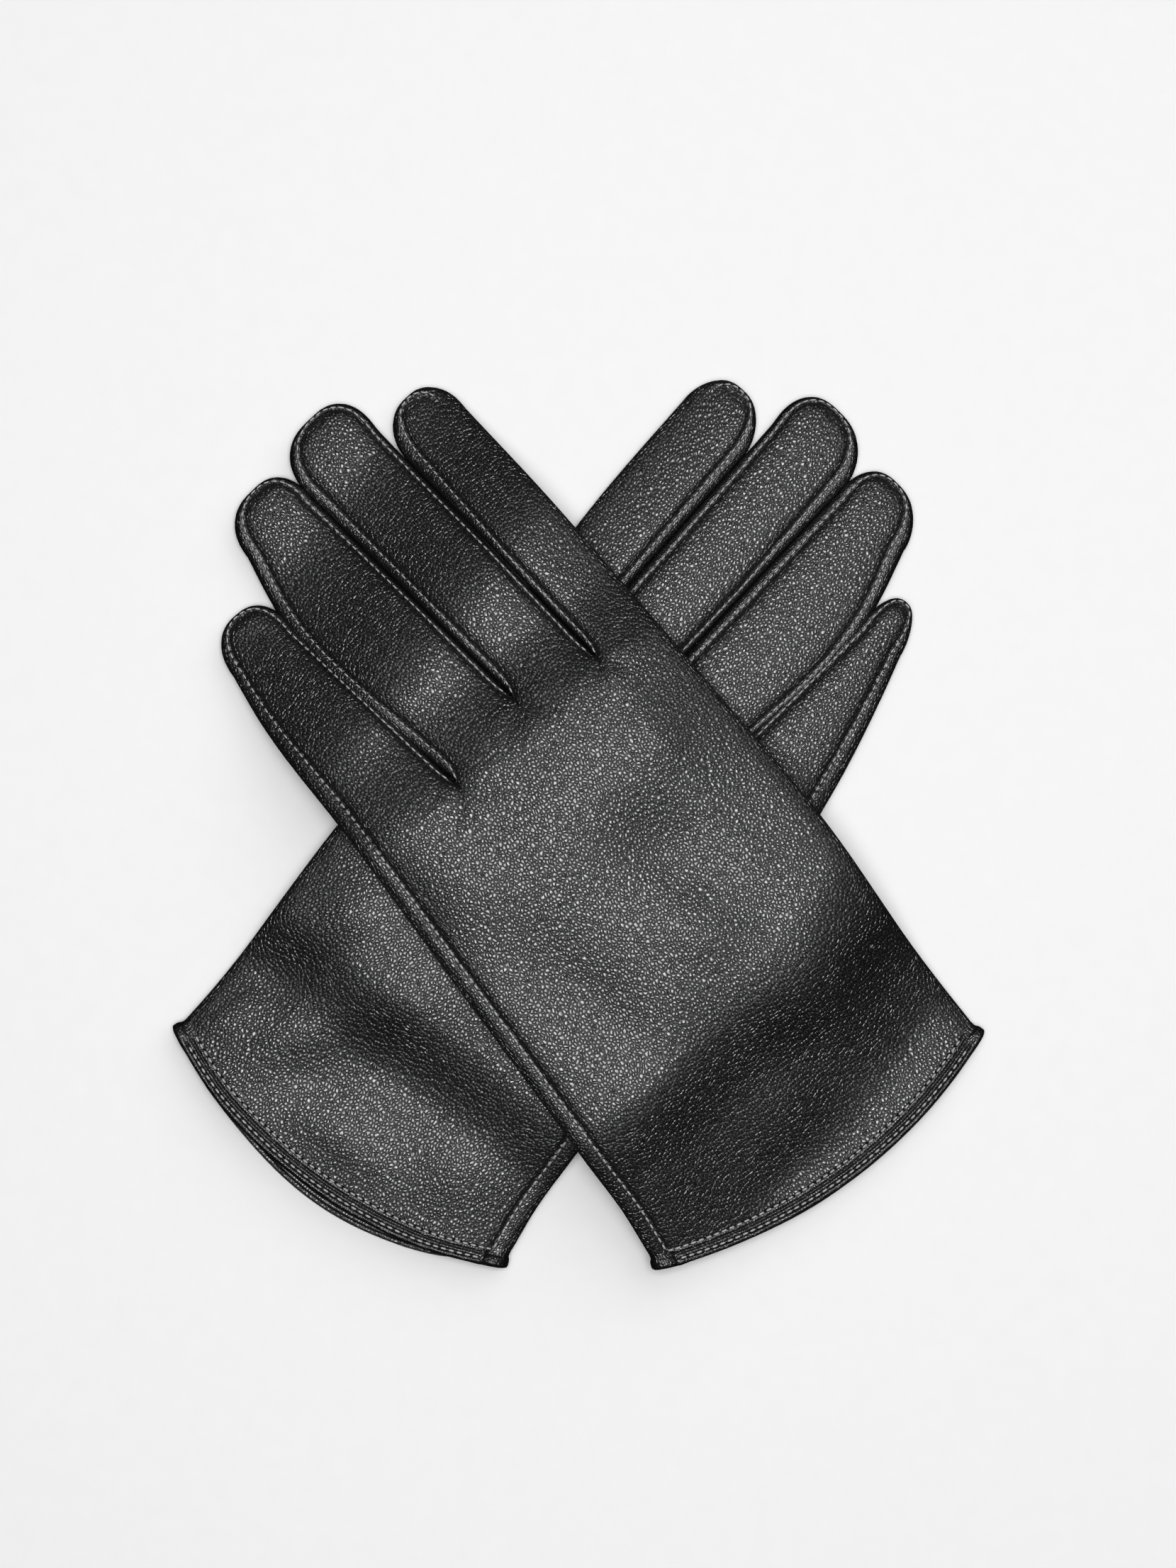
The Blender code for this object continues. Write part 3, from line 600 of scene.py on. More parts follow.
def shape_glove(side, step, coarse=False):
    """The whole glove: one skin for the cut leather and one for the forks."""
    trank, forks = Skin(side), Skin(side)
    seams = {}
    hand_rows = max(2, round(HAND_LENGTH / step))
    shares = np.linspace(0, 1, hand_rows + 1)
    for finger in FINGERS:
        across = np.linspace(0, 1, COARSE_COLUMNS) if coarse else shares_across(widths[finger])
        hand = hand_grid(side, finger, across, shares, HEM_WIDTH)
        upper, tip_start = finger_grid(side, finger, across, step)
        grid = np.concatenate([hand[:-1], upper])
        first = hand_rows
        back, palm, seam = back_and_palm(side, finger, grid, first, first + tip_start)
        grain = np.concatenate([grid, np.zeros_like(grid[..., :1])], -1)
        under = grain + np.array([HIDE_PLACE["palm"], 0.0, 0.0])

        def tag(row, low=first, name=finger):
            return "hand" if row < low else name

        trank.sheet(np.concatenate([grid, back[..., None]], -1), grain, seam, tag)
        palm_grid = grid.copy()
        fade = np.clip(1 - np.arange(len(grid)) / (PEEK_LENGTH * first), 0, 1)[:, None]
        palm_grid[..., 1] -= palm_peeks(side, grid[..., 0]) * smooth(fade)
        trank.sheet(np.concatenate([palm_grid, palm[..., None]], -1), under, seam, tag, turned=True)

        # The path round the finger, as (row, column) places of the grid.
        rows, columns = grid.shape[:2]
        begin = {s: 0 if crotch_beside(finger, s) is None else first for s in ("left", "right")}
        path = ([(r, 0) for r in range(begin["left"], rows)]
                + [(rows - 1, c) for c in range(1, columns - 1)]
                + [(r, columns - 1) for r in range(rows - 1, begin["right"] - 1, -1)])
        r, c = np.array([p[0] for p in path]), np.array([p[1] for p in path])
        line = grid[r, c]
        on_left = np.arange(len(path)) < rows - begin["left"]
        on_right = np.arange(len(path)) >= len(path) - (rows - begin["right"])
        reach_side = np.where(on_right, strip_width(side, finger, "right", line[:, 1]),
                              strip_width(side, finger, "left", line[:, 1]))
        share = across[c]
        cap = np.clip((r - first - tip_start + 1) / CAP_ROWS, 0, 1)
        at_top = ~on_left & ~on_right
        # The band narrows evenly along the rounded tip, to the width of the seam over it.
        length = np.concatenate([[0], np.cumsum(np.linalg.norm(np.diff(line, axis=0), axis=1))])
        tip_middle = np.interp(0.5, share[at_top], length[at_top])
        sides_end = [length[on_left][-1 - CAP_ROWS], length[on_right][CAP_ROWS]]
        round_tip = np.where(length < tip_middle,
                             (length - sides_end[0]) / (tip_middle - sides_end[0]),
                             (sides_end[1] - length) / (sides_end[1] - tip_middle))
        last_strip = np.where(length < tip_middle, reach_side[on_left][-1], reach_side[on_right][0])
        strip = np.where(at_top, last_strip, reach_side) - SEAM_GAP
        narrowing = smooth(round_tip) ** TIP_FULLNESS[side]
        reach = np.maximum(mix(strip, TIP_SEAM, narrowing), THINNEST_BAND)
        outer_left = (finger == "little") & on_left
        outer_right = (finger == "index") & on_right
        from_fold = mix(FOLDED, SEWN, smooth(cap * FOLD_END_RATE - FOLD_END_DELAY))
        start_turn = np.where(outer_right, from_fold, SEWN)
        end_turn = np.where(outer_right | outer_left, from_fold, SEWN)
        slope = (line[:, 0] - CUFF_APEX[0]) / CUFF_RADIUS * np.clip(1 - r / first, 0, 1)
        points, out = band(line, back[r, c], palm[r, c], reach, start_turn, end_turn, slope,
                           COARSE_BAND_STEPS if coarse else BAND_STEPS)
        # The grain runs on from the strip and round the bulge.
        step_out = np.linalg.norm(np.diff(points, axis=1), axis=2)
        round_it = np.concatenate([np.zeros((len(path), 1)), np.cumsum(step_out, axis=1)], axis=1)
        band_grain = np.concatenate([line[:, None, :] + out[:, None, :] * round_it[..., None],
                                     np.zeros((*round_it.shape, 1))], -1)
        band_seam = np.minimum(round_it, round_it[:, -1:] - round_it)
        no_seam = outer_right & (start_turn < SEWN - NEARLY_SEWN)
        band_seam = np.where(no_seam[:, None], FAR_FROM_SEAM, band_seam)

        n_left, n_top = rows - begin["left"], columns - 2
        spans = [("left", 0, n_left), ("top", n_left - 1, n_left + n_top + 1),
                 ("right", n_left + n_top, len(path))]
        for where, a, b in spans:
            part = slice(a, b)
            fork_side = where in ("left", "right") and crotch_beside(finger, where) is not None
            target = forks if fork_side else trank
            if fork_side:
                pair = next((low, high) for low, high in CROTCHES
                            if (finger, where) in ((low, "right"), (high, "left")))
                cut_at = KNUCKLE[finger] - FOLD_REACH
                heights = line[part, 1]

                def fork_tag(row, heights=heights, cut=cut_at, pair=pair, where=where, name=finger):
                    if min(heights[row], heights[row + 1]) < cut:
                        return f"fork {pair[0]} {pair[1]}"
                    return f"{name} {where}"

                namer = fork_tag
            else:
                rows_here = r[part]

                def band_tag(row, rows_here=rows_here, low=first, name=finger):
                    return "hand" if min(rows_here[row], rows_here[row + 1]) < low else name

                namer = band_tag
            target.sheet(points[part].copy(), band_grain[part], band_seam[part], namer, turned=True)
        seams[finger] = {"line": line, "z": back[r, c], "out": out, "row": r, "first": first,
                         "on_right": on_right, "sewn": start_turn > STITCHES_FROM}
    trank.finish()
    forks.finish()
    return trank, forks, seams


# %% [markdown]
# ## Finishes
# Nappa is smooth, full-grain lambskin: a fine net of creases about a millimetre apart round small
# domed pebbles, dyed right through and only lightly finished, so it is black, softly glossy on
# each pebble and dull in the creases.  The pebbles come from cell noise on the flat pattern, so
# they follow the cut of the leather.

# %% Node helpers
def new_material(name):
    material = bpy.data.materials.new(name)
    material.use_nodes = True
    nodes, links = material.node_tree.nodes, material.node_tree.links
    return material, nodes, links, nodes["Principled BSDF"]


def add(nodes, kind, **values):
    node = nodes.new(kind)
    for key, value in values.items():
        if hasattr(node, key):
            setattr(node, key, value)
        else:
            node.inputs[key.replace("_", " ")].default_value = value
    return node


def arithmetic(nodes, links, operation, *values, clamp=False):
    node = nodes.new("ShaderNodeMath")
    node.operation = operation
    node.use_clamp = clamp
    for socket, value in zip(node.inputs, values):
        if isinstance(value, (int, float)):
            socket.default_value = value
        else:
            links.new(value, socket)
    return node.outputs[0]


def blend_colours(nodes, links, share, low, high):
    node = nodes.new("ShaderNodeMix")
    node.data_type = "RGBA"
    links.new(share, node.inputs["Factor"])
    node.inputs[6].default_value = (*low, 1)
    node.inputs[7].default_value = (*high, 1)
    return node.outputs[2]


# %% Nappa
WANDER_SCALE, WANDER = 0.35, 1.1     # how often, and how far in millimetres, the grain wanders
PEBBLE_STRETCH = 0.82       # pebbles are a little longer along the hand than across it
CREASE = 0.26               # width of a crease, as a share of a pebble
PEBBLE_FALL = 0.6           # height that a pebble loses from its middle to a crease
PORE = 0.02                 # height of the pores on a pebble
STITCH_PITCH = 2.2          # from one stitch to the next, in millimetres
PLEAT_REACH, PLEAT = 2.2, 0.5        # how far from a seam the pleats reach, and their height
CLOUD_SCALE = 0.045         # slow changes of shade, a few centimetres apart
CLOUD_LIFT = 0.45
# painted shade: the creases' colour is darkened to this share, for the shade that falls into them
CREASE_PAINTED_SHADE = 0.05         # a crease keeps this share of the dye's brightness
DULL, PEBBLE_GLOSS = 0.32, 0.12      # roughness of a crease, and what a pebble takes off it
CLOUD_DULLING, SEAM_DULLING = 0.12, 0.06


def nappa(name, pebble, depth, dye):
    """Black glove leather.  pebble is the size of the grain in millimetres, and depth its height."""
    material, nodes, links, shader = new_material(name)
    pattern = add(nodes, "ShaderNodeAttribute", attribute_name="grain")
    warp = add(nodes, "ShaderNodeTexNoise", Scale=WANDER_SCALE, Detail=2.0)
    links.new(pattern.outputs["Vector"], warp.inputs["Vector"])
    bent = add(nodes, "ShaderNodeVectorMath", operation="MULTIPLY_ADD")
    links.new(warp.outputs["Color"], bent.inputs[0])
    bent.inputs[1].default_value = (WANDER, WANDER, WANDER)
    links.new(pattern.outputs["Vector"], bent.inputs[2])
    stretch = add(nodes, "ShaderNodeMapping")
    links.new(bent.outputs[0], stretch.inputs["Vector"])
    stretch.inputs["Scale"].default_value = (1.0, PEBBLE_STRETCH, 1.0)
    cells = add(nodes, "ShaderNodeTexVoronoi", feature="DISTANCE_TO_EDGE",
                voronoi_dimensions="2D", Scale=1 / pebble)
    domes = add(nodes, "ShaderNodeTexVoronoi", feature="SMOOTH_F1", voronoi_dimensions="2D",
                Scale=1 / pebble, Smoothness=0.25)
    pores = add(nodes, "ShaderNodeTexNoise", Scale=3.2, Detail=3.0)
    for node in (cells, domes, pores):
        links.new(stretch.outputs[0], node.inputs["Vector"])
    crease = nodes.new("ShaderNodeMapRange")
    crease.interpolation_type = "SMOOTHSTEP"
    crease.inputs["From Max"].default_value = CREASE
    links.new(cells.outputs["Distance"], crease.inputs["Value"])
    top = crease.outputs[0]
    rounded = arithmetic(nodes, links, "MULTIPLY_ADD", domes.outputs["Distance"], -PEBBLE_FALL, 1.0)
    height = arithmetic(nodes, links, "MULTIPLY", top, rounded)
    height = arithmetic(nodes, links, "ADD", height,
                        arithmetic(nodes, links, "MULTIPLY", pores.outputs["Fac"], PORE))
    # Tiny pleats across each seam, one to a stitch.
    seam = add(nodes, "ShaderNodeAttribute", attribute_name="seam")
    near = nodes.new("ShaderNodeMapRange")
    near.interpolation_type = "SMOOTHSTEP"
    near.inputs["From Max"].default_value = PLEAT_REACH
    near.inputs["To Min"].default_value = 1.0
    near.inputs["To Max"].default_value = 0.0
    links.new(seam.outputs["Fac"], near.inputs["Value"])
    apart = add(nodes, "ShaderNodeSeparateXYZ")
    links.new(pattern.outputs["Vector"], apart.inputs[0])
    pleat = arithmetic(nodes, links, "SINE", arithmetic(nodes, links, "MULTIPLY", apart.outputs["Y"],
                                                        2 * math.pi / STITCH_PITCH))
    pleat = arithmetic(nodes, links, "MULTIPLY", pleat, near.outputs[0])
    height = arithmetic(nodes, links, "ADD", height,
                        arithmetic(nodes, links, "MULTIPLY", pleat, PLEAT))
    bump = add(nodes, "ShaderNodeBump", Strength=1.0, Distance=depth * MM)
    links.new(height, bump.inputs["Height"])
    links.new(bump.outputs[0], shader.inputs["Normal"])
    # The finish sits on the pebbles, so they are glossy and the creases between them dull; painted shade
    # darkens the creases.
    cloud = add(nodes, "ShaderNodeTexNoise", Scale=CLOUD_SCALE, Detail=4.0, Roughness=0.6)
    links.new(pattern.outputs["Vector"], cloud.inputs["Vector"])
    shade = arithmetic(nodes, links, "MULTIPLY", top,
                       arithmetic(nodes, links, "ADD", cloud.outputs["Fac"], CLOUD_LIFT), clamp=True)
    links.new(blend_colours(nodes, links, shade, tuple(CREASE_PAINTED_SHADE * d for d in dye), dye),
              shader.inputs["Base Color"])
    rough = arithmetic(nodes, links, "MULTIPLY_ADD", top, -PEBBLE_GLOSS, DULL)
    rough = arithmetic(nodes, links, "ADD", rough,
                       arithmetic(nodes, links, "MULTIPLY", cloud.outputs["Fac"], CLOUD_DULLING))
    rough = arithmetic(nodes, links, "ADD", rough,
                       arithmetic(nodes, links, "MULTIPLY", near.outputs[0], SEAM_DULLING))
    links.new(rough, shader.inputs["Roughness"])
    shader.inputs["Specular IOR Level"].default_value = 1.0
    return material


black_nappa = nappa("black_nappa", 0.88, 0.17, (0.011, 0.011, 0.012))
black_nappa_strips = nappa("black_nappa_strips", 0.74, 0.09, (0.006, 0.006, 0.0066))


# %% Lining and thread
RIB_WIDTH, LOOP_LENGTH = 0.9, 0.6    # of the knit, in millimetres


def knitted_lining():
    """Fine jersey: rows of small loops, soft and dull."""
    material, nodes, links, shader = new_material("black_lining")
    pattern = add(nodes, "ShaderNodeAttribute", attribute_name="grain")
    apart = add(nodes, "ShaderNodeSeparateXYZ")
    links.new(pattern.outputs["Vector"], apart.inputs[0])
    ribs, loops = (arithmetic(nodes, links, "SINE", arithmetic(nodes, links, "MULTIPLY",
                                                               apart.outputs[axis], 2 * math.pi / length))
                   for axis, length in (("X", RIB_WIDTH), ("Y", LOOP_LENGTH)))
    knit = arithmetic(nodes, links, "MULTIPLY", ribs, loops)
    bump = add(nodes, "ShaderNodeBump", Strength=0.8, Distance=0.12 * MM)
    links.new(knit, bump.inputs["Height"])
    links.new(bump.outputs[0], shader.inputs["Normal"])
    fuzz = add(nodes, "ShaderNodeTexNoise", Scale=1.4, Detail=3.0)
    links.new(pattern.outputs["Vector"], fuzz.inputs["Vector"])
    links.new(blend_colours(nodes, links, fuzz.outputs["Fac"], (0.008, 0.008, 0.009),
                            (0.018, 0.018, 0.020)), shader.inputs["Base Color"])
    shader.inputs["Roughness"].default_value = 0.9
    shader.inputs["Sheen Weight"].default_value = 0.25
    return material


def make_painted_shine_thread():
    """Waxed silk thread with a twist.  Its light grey is a painted highlight for its shine, with painted
    glints along the twist.
    """
    material, nodes, links, shader = new_material("painted_shine_thread")
    where = add(nodes, "ShaderNodeTexCoord")
    twist = add(nodes, "ShaderNodeTexWave", Scale=900.0, Distortion=1.5)
    links.new(where.outputs["Object"], twist.inputs["Vector"])
    bump = add(nodes, "ShaderNodeBump", Strength=0.4, Distance=0.05 * MM)
    links.new(twist.outputs["Fac"], bump.inputs["Height"])
    links.new(bump.outputs[0], shader.inputs["Normal"])
    # painted highlight: light grey colour, lighter still in painted glints along the twist
    links.new(blend_colours(nodes, links, twist.outputs["Fac"], (0.26, 0.26, 0.265),
                            (0.50, 0.50, 0.51)), shader.inputs["Base Color"])
    shader.inputs["Roughness"].default_value = 0.3
    return material


black_lining = knitted_lining()
painted_shine_thread = make_painted_shine_thread()

# %% [markdown]
# ## Cutting the pieces and hanging them on the frame
# The hand and the forks ride on the glove's body.  A finger's leather, its side strips, lining and
# stitches are pieces of their own, and they stay where they are cut.

# %% Riding
def bend_at_knuckle(thing, side, finger):
    """Bakes the piece's place into its points.  The finger's edges and lean at the knuckle are worked out,
    but nothing uses them.
    """
    left, right = (float(side_of(side, finger, s, KNUCKLE[finger])) for s in ("left", "right"))
    tilt = lean(side, finger)
    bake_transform(thing)


def cut_glove(side):
    trank, forks, seams = shape_glove(side, ROW_STEP)
    hand = cut_piece(trank, "hand", f"{side}_hand_leather", black_nappa, LEATHER)
    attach(hand, f"{side}_glove")
    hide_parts(f"{side}_trank_hand")
    for finger in FINGERS:
        leather = cut_piece(trank, finger, f"{side}_{finger}_leather", black_nappa, LEATHER)
        bend_at_knuckle(leather, side, finger)
        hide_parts(f"{side}_trank_{finger}")
    for low, high in CROTCHES:
        fork = cut_piece(forks, f"fork {low} {high}", f"{side}_fork_{low}_{high}_leather",
                         black_nappa_strips, LEATHER / 2)
        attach(fork, f"{side}_glove")
        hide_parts(f"{side}_fork_{low}_{high}")
        for finger, where, other in ((low, "right", high), (high, "left", low)):
            strip = cut_piece(forks, f"{finger} {where}", f"{side}_{finger}_side_by_{other}",
                              black_nappa_strips, LEATHER / 2)
            bend_at_knuckle(strip, side, finger)
            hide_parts(f"{side}_fourchette_{finger}_by_{other}")
    return seams


seams = {side: cut_glove(side) for side in SIDES}

# %% Lining
LINING_STEP = 6.0
LINING_INSET = LEATHER + 0.5
for side in SIDES:
    trank = shape_glove(side, LINING_STEP, coarse=True)[0]
    hand = cut_piece(trank, "hand", f"{side}_hand_lining", black_lining, LINING, inset=LINING_INSET)
    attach(hand, f"{side}_glove")
    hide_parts(f"{side}_lining_hand")
    for finger in FINGERS:
        tube = cut_piece(trank, finger, f"{side}_{finger}_lining", black_lining, LINING, inset=LINING_INSET)
        bend_at_knuckle(tube, side, finger)
        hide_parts(f"{side}_lining_{finger}")

# %% [markdown]
# ## Hem
# The cuff is bound: a strip of leather is folded over the raw edge and sewn through with two rows
# of stitches.  From above that shows as a round outer roll and two narrow ridges beside it.  The
# ridges are drawn as a short profile and run right round the cuff, and at each corner, where the
# leather turns under, they give way to one rounded lobe.

# %% Bound hem
HEM_SHAPE = [(0.0, -0.8), (0.12, -0.3), (0.35, 0.1), (0.65, 0.36), (1.0, 0.45), (1.35, 0.36), (1.65, 0.1),
             (1.85, -0.3), (2.0, -0.5), (2.15, -0.3), (2.35, 0.05), (2.65, 0.32), (2.95, 0.36), (3.25, 0.2),
             (3.45, -0.15), (3.6, -0.4), (3.75, -0.15), (3.95, 0.12), (4.3, 0.32), (4.7, 0.3), (5.05, 0.1),
             (5.3, -0.2), (5.6, -0.45)]      # distance from the cuff's edge, and height
HEM_THICK = 1.4
CORNER_FROM = 46            # a corner of the hem starts this far from the middle
RIDGES_FADE, RIDGES_LOSS = 4, 0.85   # over this length the ridges lose this share of their height
CORNER_LOBE, LOBE_FADE = 1.3, 5      # height of the lobe, and the length over which it grows
LOBE_START, LOBE_RISE = 0.3, 1.6     # shape of the lobe from the edge of the cuff upwards
LOBE_END, LOBE_FALL = 4.6, 3


def cuff_rows(glove, starts):
    """Rows across the back and across the palm, at distances from the cuff's edge."""
    backs, palms = [], []
    for start in starts:
        back_line, palm_line = [], []
        for finger in FINGERS:
            grid = hand_grid(glove, finger, shares_across(widths[finger]), [0.0], start)
            back, palm, _ = back_and_palm(glove, finger, grid, 1, None)
            skip = 0 if finger == "little" else 1
            lower = grid[0] - np.column_stack([0 * grid[0, :, 0], palm_peeks(glove, grid[0, :, 0])])
            back_line.append(np.column_stack([grid[0], back[0]])[skip:])
            palm_line.append(np.column_stack([lower, palm[0]])[skip:])
        backs.append(np.concatenate(back_line))
        palms.append(np.concatenate(palm_line))
    return np.array(backs), np.array(palms)


def shape_hem(glove):
    hem = Skin(glove)
    starts = np.array([p[0] for p in HEM_SHAPE])
    backs, palms = cuff_rows(glove, starts)

    def lay(points, starts, far, turned):
        far_grain = points + np.array([far, 0.0, 0.0])
        distance = starts[:, None] + np.zeros(points.shape[:2])
        hem.sheet(points, far_grain, distance, lambda row: "hem", turned=turned)

    lay(backs, starts, HIDE_PLACE["hem on the back"], False)
    lay(palms, starts, HIDE_PLACE["hem on the palm"], True)
    for column, width, first_turn, order in ((0, ROLL_WIDTH, SEWN, 1), (-1, FOLD_WIDTH, FOLDED, -1)):
        path = backs[::order, column, :2]
        slope = (path[:, 0] - CUFF_APEX[0]) / CUFF_RADIUS
        count = len(path)
        points, _ = band(path, backs[::order, column, 2], palms[::order, column, 2],
                         np.full(count, width - SEAM_GAP), np.full(count, first_turn),
                         np.full(count, FOLDED), slope)
        lay(points, starts[::order], HIDE_PLACE["hem at the sides"], True)
    hem.finish()
    along = np.array(hem.seam)
    past = np.abs(np.array(hem.points)[:, 0]) - CORNER_FROM
    ridges = np.interp(along, starts, [p[1] for p in HEM_SHAPE])
    ridges *= 1 - RIDGES_LOSS * smooth(past / RIDGES_FADE)
    lobe = smooth(LOBE_START + along / LOBE_RISE) * smooth((LOBE_END - along) / LOBE_FALL)
    hem.swell(ridges + CORNER_LOBE * smooth(past / LOBE_FADE) * lobe)
    piece = cut_piece(hem, "hem", f"{glove}_hem_leather", black_nappa_strips, HEM_THICK)
    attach(piece, f"{glove}_glove")
    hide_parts(f"{glove}_hem_binding")


for side in SIDES:
    shape_hem(side)

# %% [markdown]
# ## Thumb
# The thumb is a small pouch tucked flat under the palm, so it hardly shows.  It is a rounded
# tapering outline with a crowned top and bottom and a seam round its edge, so one profile that
# runs from a spine out to that edge makes it.

# %% Thumb pouch
THUMB_LENGTH = 50.0
THUMB_BASE, THUMB_TIP = 12.5, 9.0
THUMB_TUCK = math.radians(90 + 25)   # it leans 25 degrees towards the little finger
THUMB_LEATHER, THUMB_LINING, THUMB_LINING_INSET = 0.6, 0.3, 0.75
THUMB_TIP_POINTS, THUMB_BASE_POINTS = 15, 21
THUMB_SEAM_REACH = 3        # the middle of the thumb counts as this far from its seam
THUMB_UPPER = [(0.0, 1.0), (0.35, 1.0), (0.62, 0.97), (0.8, 0.85), (0.92, 0.6), (0.98, 0.3), (1.0, 0.08)]
THUMB_PROFILE = THUMB_UPPER + [(out, -up) for out, up in reversed(THUMB_UPPER)]


def thumb_edge(shrink):
    base, tip = THUMB_BASE - shrink, THUMB_TIP - shrink
    slope = math.asin((base - tip) / THUMB_LENGTH)
    points = []
    for t in np.linspace(-(math.pi / 2 - slope), math.pi / 2 - slope, THUMB_TIP_POINTS):
        points.append((THUMB_LENGTH + tip * math.cos(t), tip * math.sin(t)))
    for x in (0.8, 0.6, 0.4, 0.2):
        points.append((THUMB_LENGTH * x, mix(base, tip, x)))
    for t in np.linspace(math.pi / 2 - slope, 1.5 * math.pi + slope, THUMB_BASE_POINTS):
        points.append((base * math.cos(t), base * math.sin(t)))
    for x in (0.2, 0.4, 0.6, 0.8):
        points.append((THUMB_LENGTH * x, -mix(base, tip, x)))
    points.append(points[0])
    return np.array(points)


def shape_thumb(side, name, shrink, thick, material, node):
    pouch = Skin(side)
    edge = thumb_edge(shrink)
    spine = np.stack([np.clip(edge[:, 0], 0, THUMB_LENGTH), np.zeros(len(edge))], -1)
    half = THUMB_THICK / 2 - shrink
    rows, grain = [], []
    for out, up in THUMB_PROFILE:
        flat = mix(spine, edge, out)
        u = THUMB_HINGE[0] + flat[:, 0] * math.cos(THUMB_TUCK) - flat[:, 1] * math.sin(THUMB_TUCK)
        v = THUMB_HINGE[1] + flat[:, 0] * math.sin(THUMB_TUCK) + flat[:, 1] * math.cos(THUMB_TUCK)
        z = THUMB_THICK / 2 - PALM_RISE + half * up
        rows.append(np.stack([u, v, np.full(len(u), z)], -1))
        hide = HIDE_PLACE["top of the thumb" if up > 0 else "bottom of the thumb"]
        grain.append(np.stack([flat[:, 0] + hide, flat[:, 1], 0 * u], -1))
    rows, grain = np.array(rows), np.array(grain)
    height = np.abs(np.array([up for _, up in THUMB_PROFILE]))[:, None]
    seam = height * THUMB_SEAM_REACH + 0 * rows[..., 0]
    pouch.sheet(rows, grain, seam, lambda row: "thumb")
    pouch.finish()
    if pouch.facing[0][2] < 0:
        pouch.facing *= -1
        pouch.turn_over()
    piece = cut_piece(pouch, "thumb", f"{side}_{name}", material, thick)
    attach(piece, f"{side}_thumb")
    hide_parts(node)


for side in SIDES:
    shape_thumb(side, "thumb_leather", 0.0, THUMB_LEATHER, black_nappa, f"{side}_thumb")
    shape_thumb(side, "thumb_fabric", THUMB_LINING_INSET, THUMB_LINING, black_lining,
                f"{side}_lining_thumb")

# %% [markdown]
# ## Stitches
# Every seam is sewn with small stitches a little over two millimetres apart.  Each one is a short
# grain of thread, pointed at both ends, that sits on the near edge of the fork and shows as a
# light dash on the black.  A solid grain was chosen over a painted dash, so that it catches the
# light from every side.

# %% Stitches
STITCH_LENGTH = 1.8
STITCH_WIDTH = 0.6
FINGER_STITCH_WIDTH = 0.42
STITCH_SHOULDER = 0.27      # share of its length from a stitch's middle to where its points start
STITCH_OUT = 0.6            # the stitches sit this far out from the seam, on the fork
STITCH_LIFT = 0.72
STITCH_SIDES = 6
AHEAD = 0.4                 # a stitch points at a place this far along the seam
HEM_STITCH_ROWS = ((2.05, 0.35), (5.2, 0.4))     # distance from the cuff's edge, and lift


def stitch_mesh(name, spots, width):
    """spots: (middle, direction along the seam) of each stitch, in metres."""
    points, faces = [], []
    for middle, ahead in spots:
        ahead = ahead / np.linalg.norm(ahead)
        side_way = np.cross(ahead, [0, 0, 1.0])
        side_way /= max(np.linalg.norm(side_way), 1e-9)
        up = np.cross(side_way, ahead)
        base = len(points)
        points.append(middle - ahead * STITCH_LENGTH * MM / 2)
        for along in (-STITCH_SHOULDER, STITCH_SHOULDER):
            for k in range(STITCH_SIDES):
                t = 2 * math.pi * k / STITCH_SIDES
                points.append(middle + ahead * along * STITCH_LENGTH * MM
                              + (side_way * math.cos(t) + up * math.sin(t)) * width * MM / 2)
        points.append(middle + ahead * STITCH_LENGTH * MM / 2)
        end = len(points) - 1
        for k in range(STITCH_SIDES):
            a, b = base + 1 + k, base + 1 + (k + 1) % STITCH_SIDES
            faces += [[base, b, a], [a, b, b + STITCH_SIDES, a + STITCH_SIDES],
                      [a + STITCH_SIDES, b + STITCH_SIDES, end]]
    mesh = bpy.data.meshes.new(name)
    mesh.from_pydata([tuple(p) for p in points], [], faces)
    mesh.shade_smooth()
    thing = bpy.data.objects.new(name, mesh)
    bpy.context.scene.collection.objects.link(thing)
    # the thread's light grey is a painted highlight for its shine
    mesh.materials.append(painted_shine_thread)
    return thing


def spots_along(side, line, z, inward, lift):
    """Evenly spaced stitches along a seam given as pattern points."""
    points = np.column_stack([line + inward, z + lift])
    length = np.concatenate([[0], np.cumsum(np.linalg.norm(np.diff(points, axis=0), axis=1))])
    count = int(length[-1] // STITCH_PITCH)
    at = (np.arange(count) + 0.5) * STITCH_PITCH
    middle = np.stack([np.interp(at, length, points[:, k]) for k in range(3)], -1)
    ahead = np.stack([np.interp(at + AHEAD, length, points[:, k]) for k in range(3)], -1)
    middle, ahead = place(side, middle), place(side, ahead)
    return [(m, a - m) for m, a in zip(middle, ahead) if np.linalg.norm(a - m) > 1e-6]


def seam_spots(side, s, keep):
    return spots_along(side, s["line"][keep], s["z"][keep], s["out"][keep] * STITCH_OUT, STITCH_LIFT)


def sew(side):
    total = 0
    for finger in FINGERS:
        s = seams[side][finger]
        spots = seam_spots(side, s, s["sewn"] & (s["row"] > s["first"]))
        thread = stitch_mesh(f"{side}_{finger}_stitches", spots, FINGER_STITCH_WIDTH)
        bend_at_knuckle(thread, side, finger)
        total += len(spots)
    s = seams[side]["little"]
    spots = seam_spots(side, s, s["sewn"] & (s["row"] <= s["first"]) & ~s["on_right"])
    for start, lift in HEM_STITCH_ROWS:
        ring = cuff_rows(side, [start])[0][0]
        spots += spots_along(side, ring[:, :2], ring[:, 2], 0.0, lift)
    thread = stitch_mesh(f"{side}_hand_stitches", spots, STITCH_WIDTH)
    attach(thread, f"{side}_glove")
    return total + len(spots)


print("stitches:", {side: sew(side) for side in SIDES})

# %% [markdown]
# ## Studio
# The gloves lie on a plain white table under one softbox.  Black leather shows the softbox itself,
# so its size sets how quickly the gloves darken as they slope away.  A second, very broad light
# fills the table evenly and isn't mirrored in the leather.  Three dim cards do the opposite: only
# the leather mirrors them, on the slopes that the softbox misses.

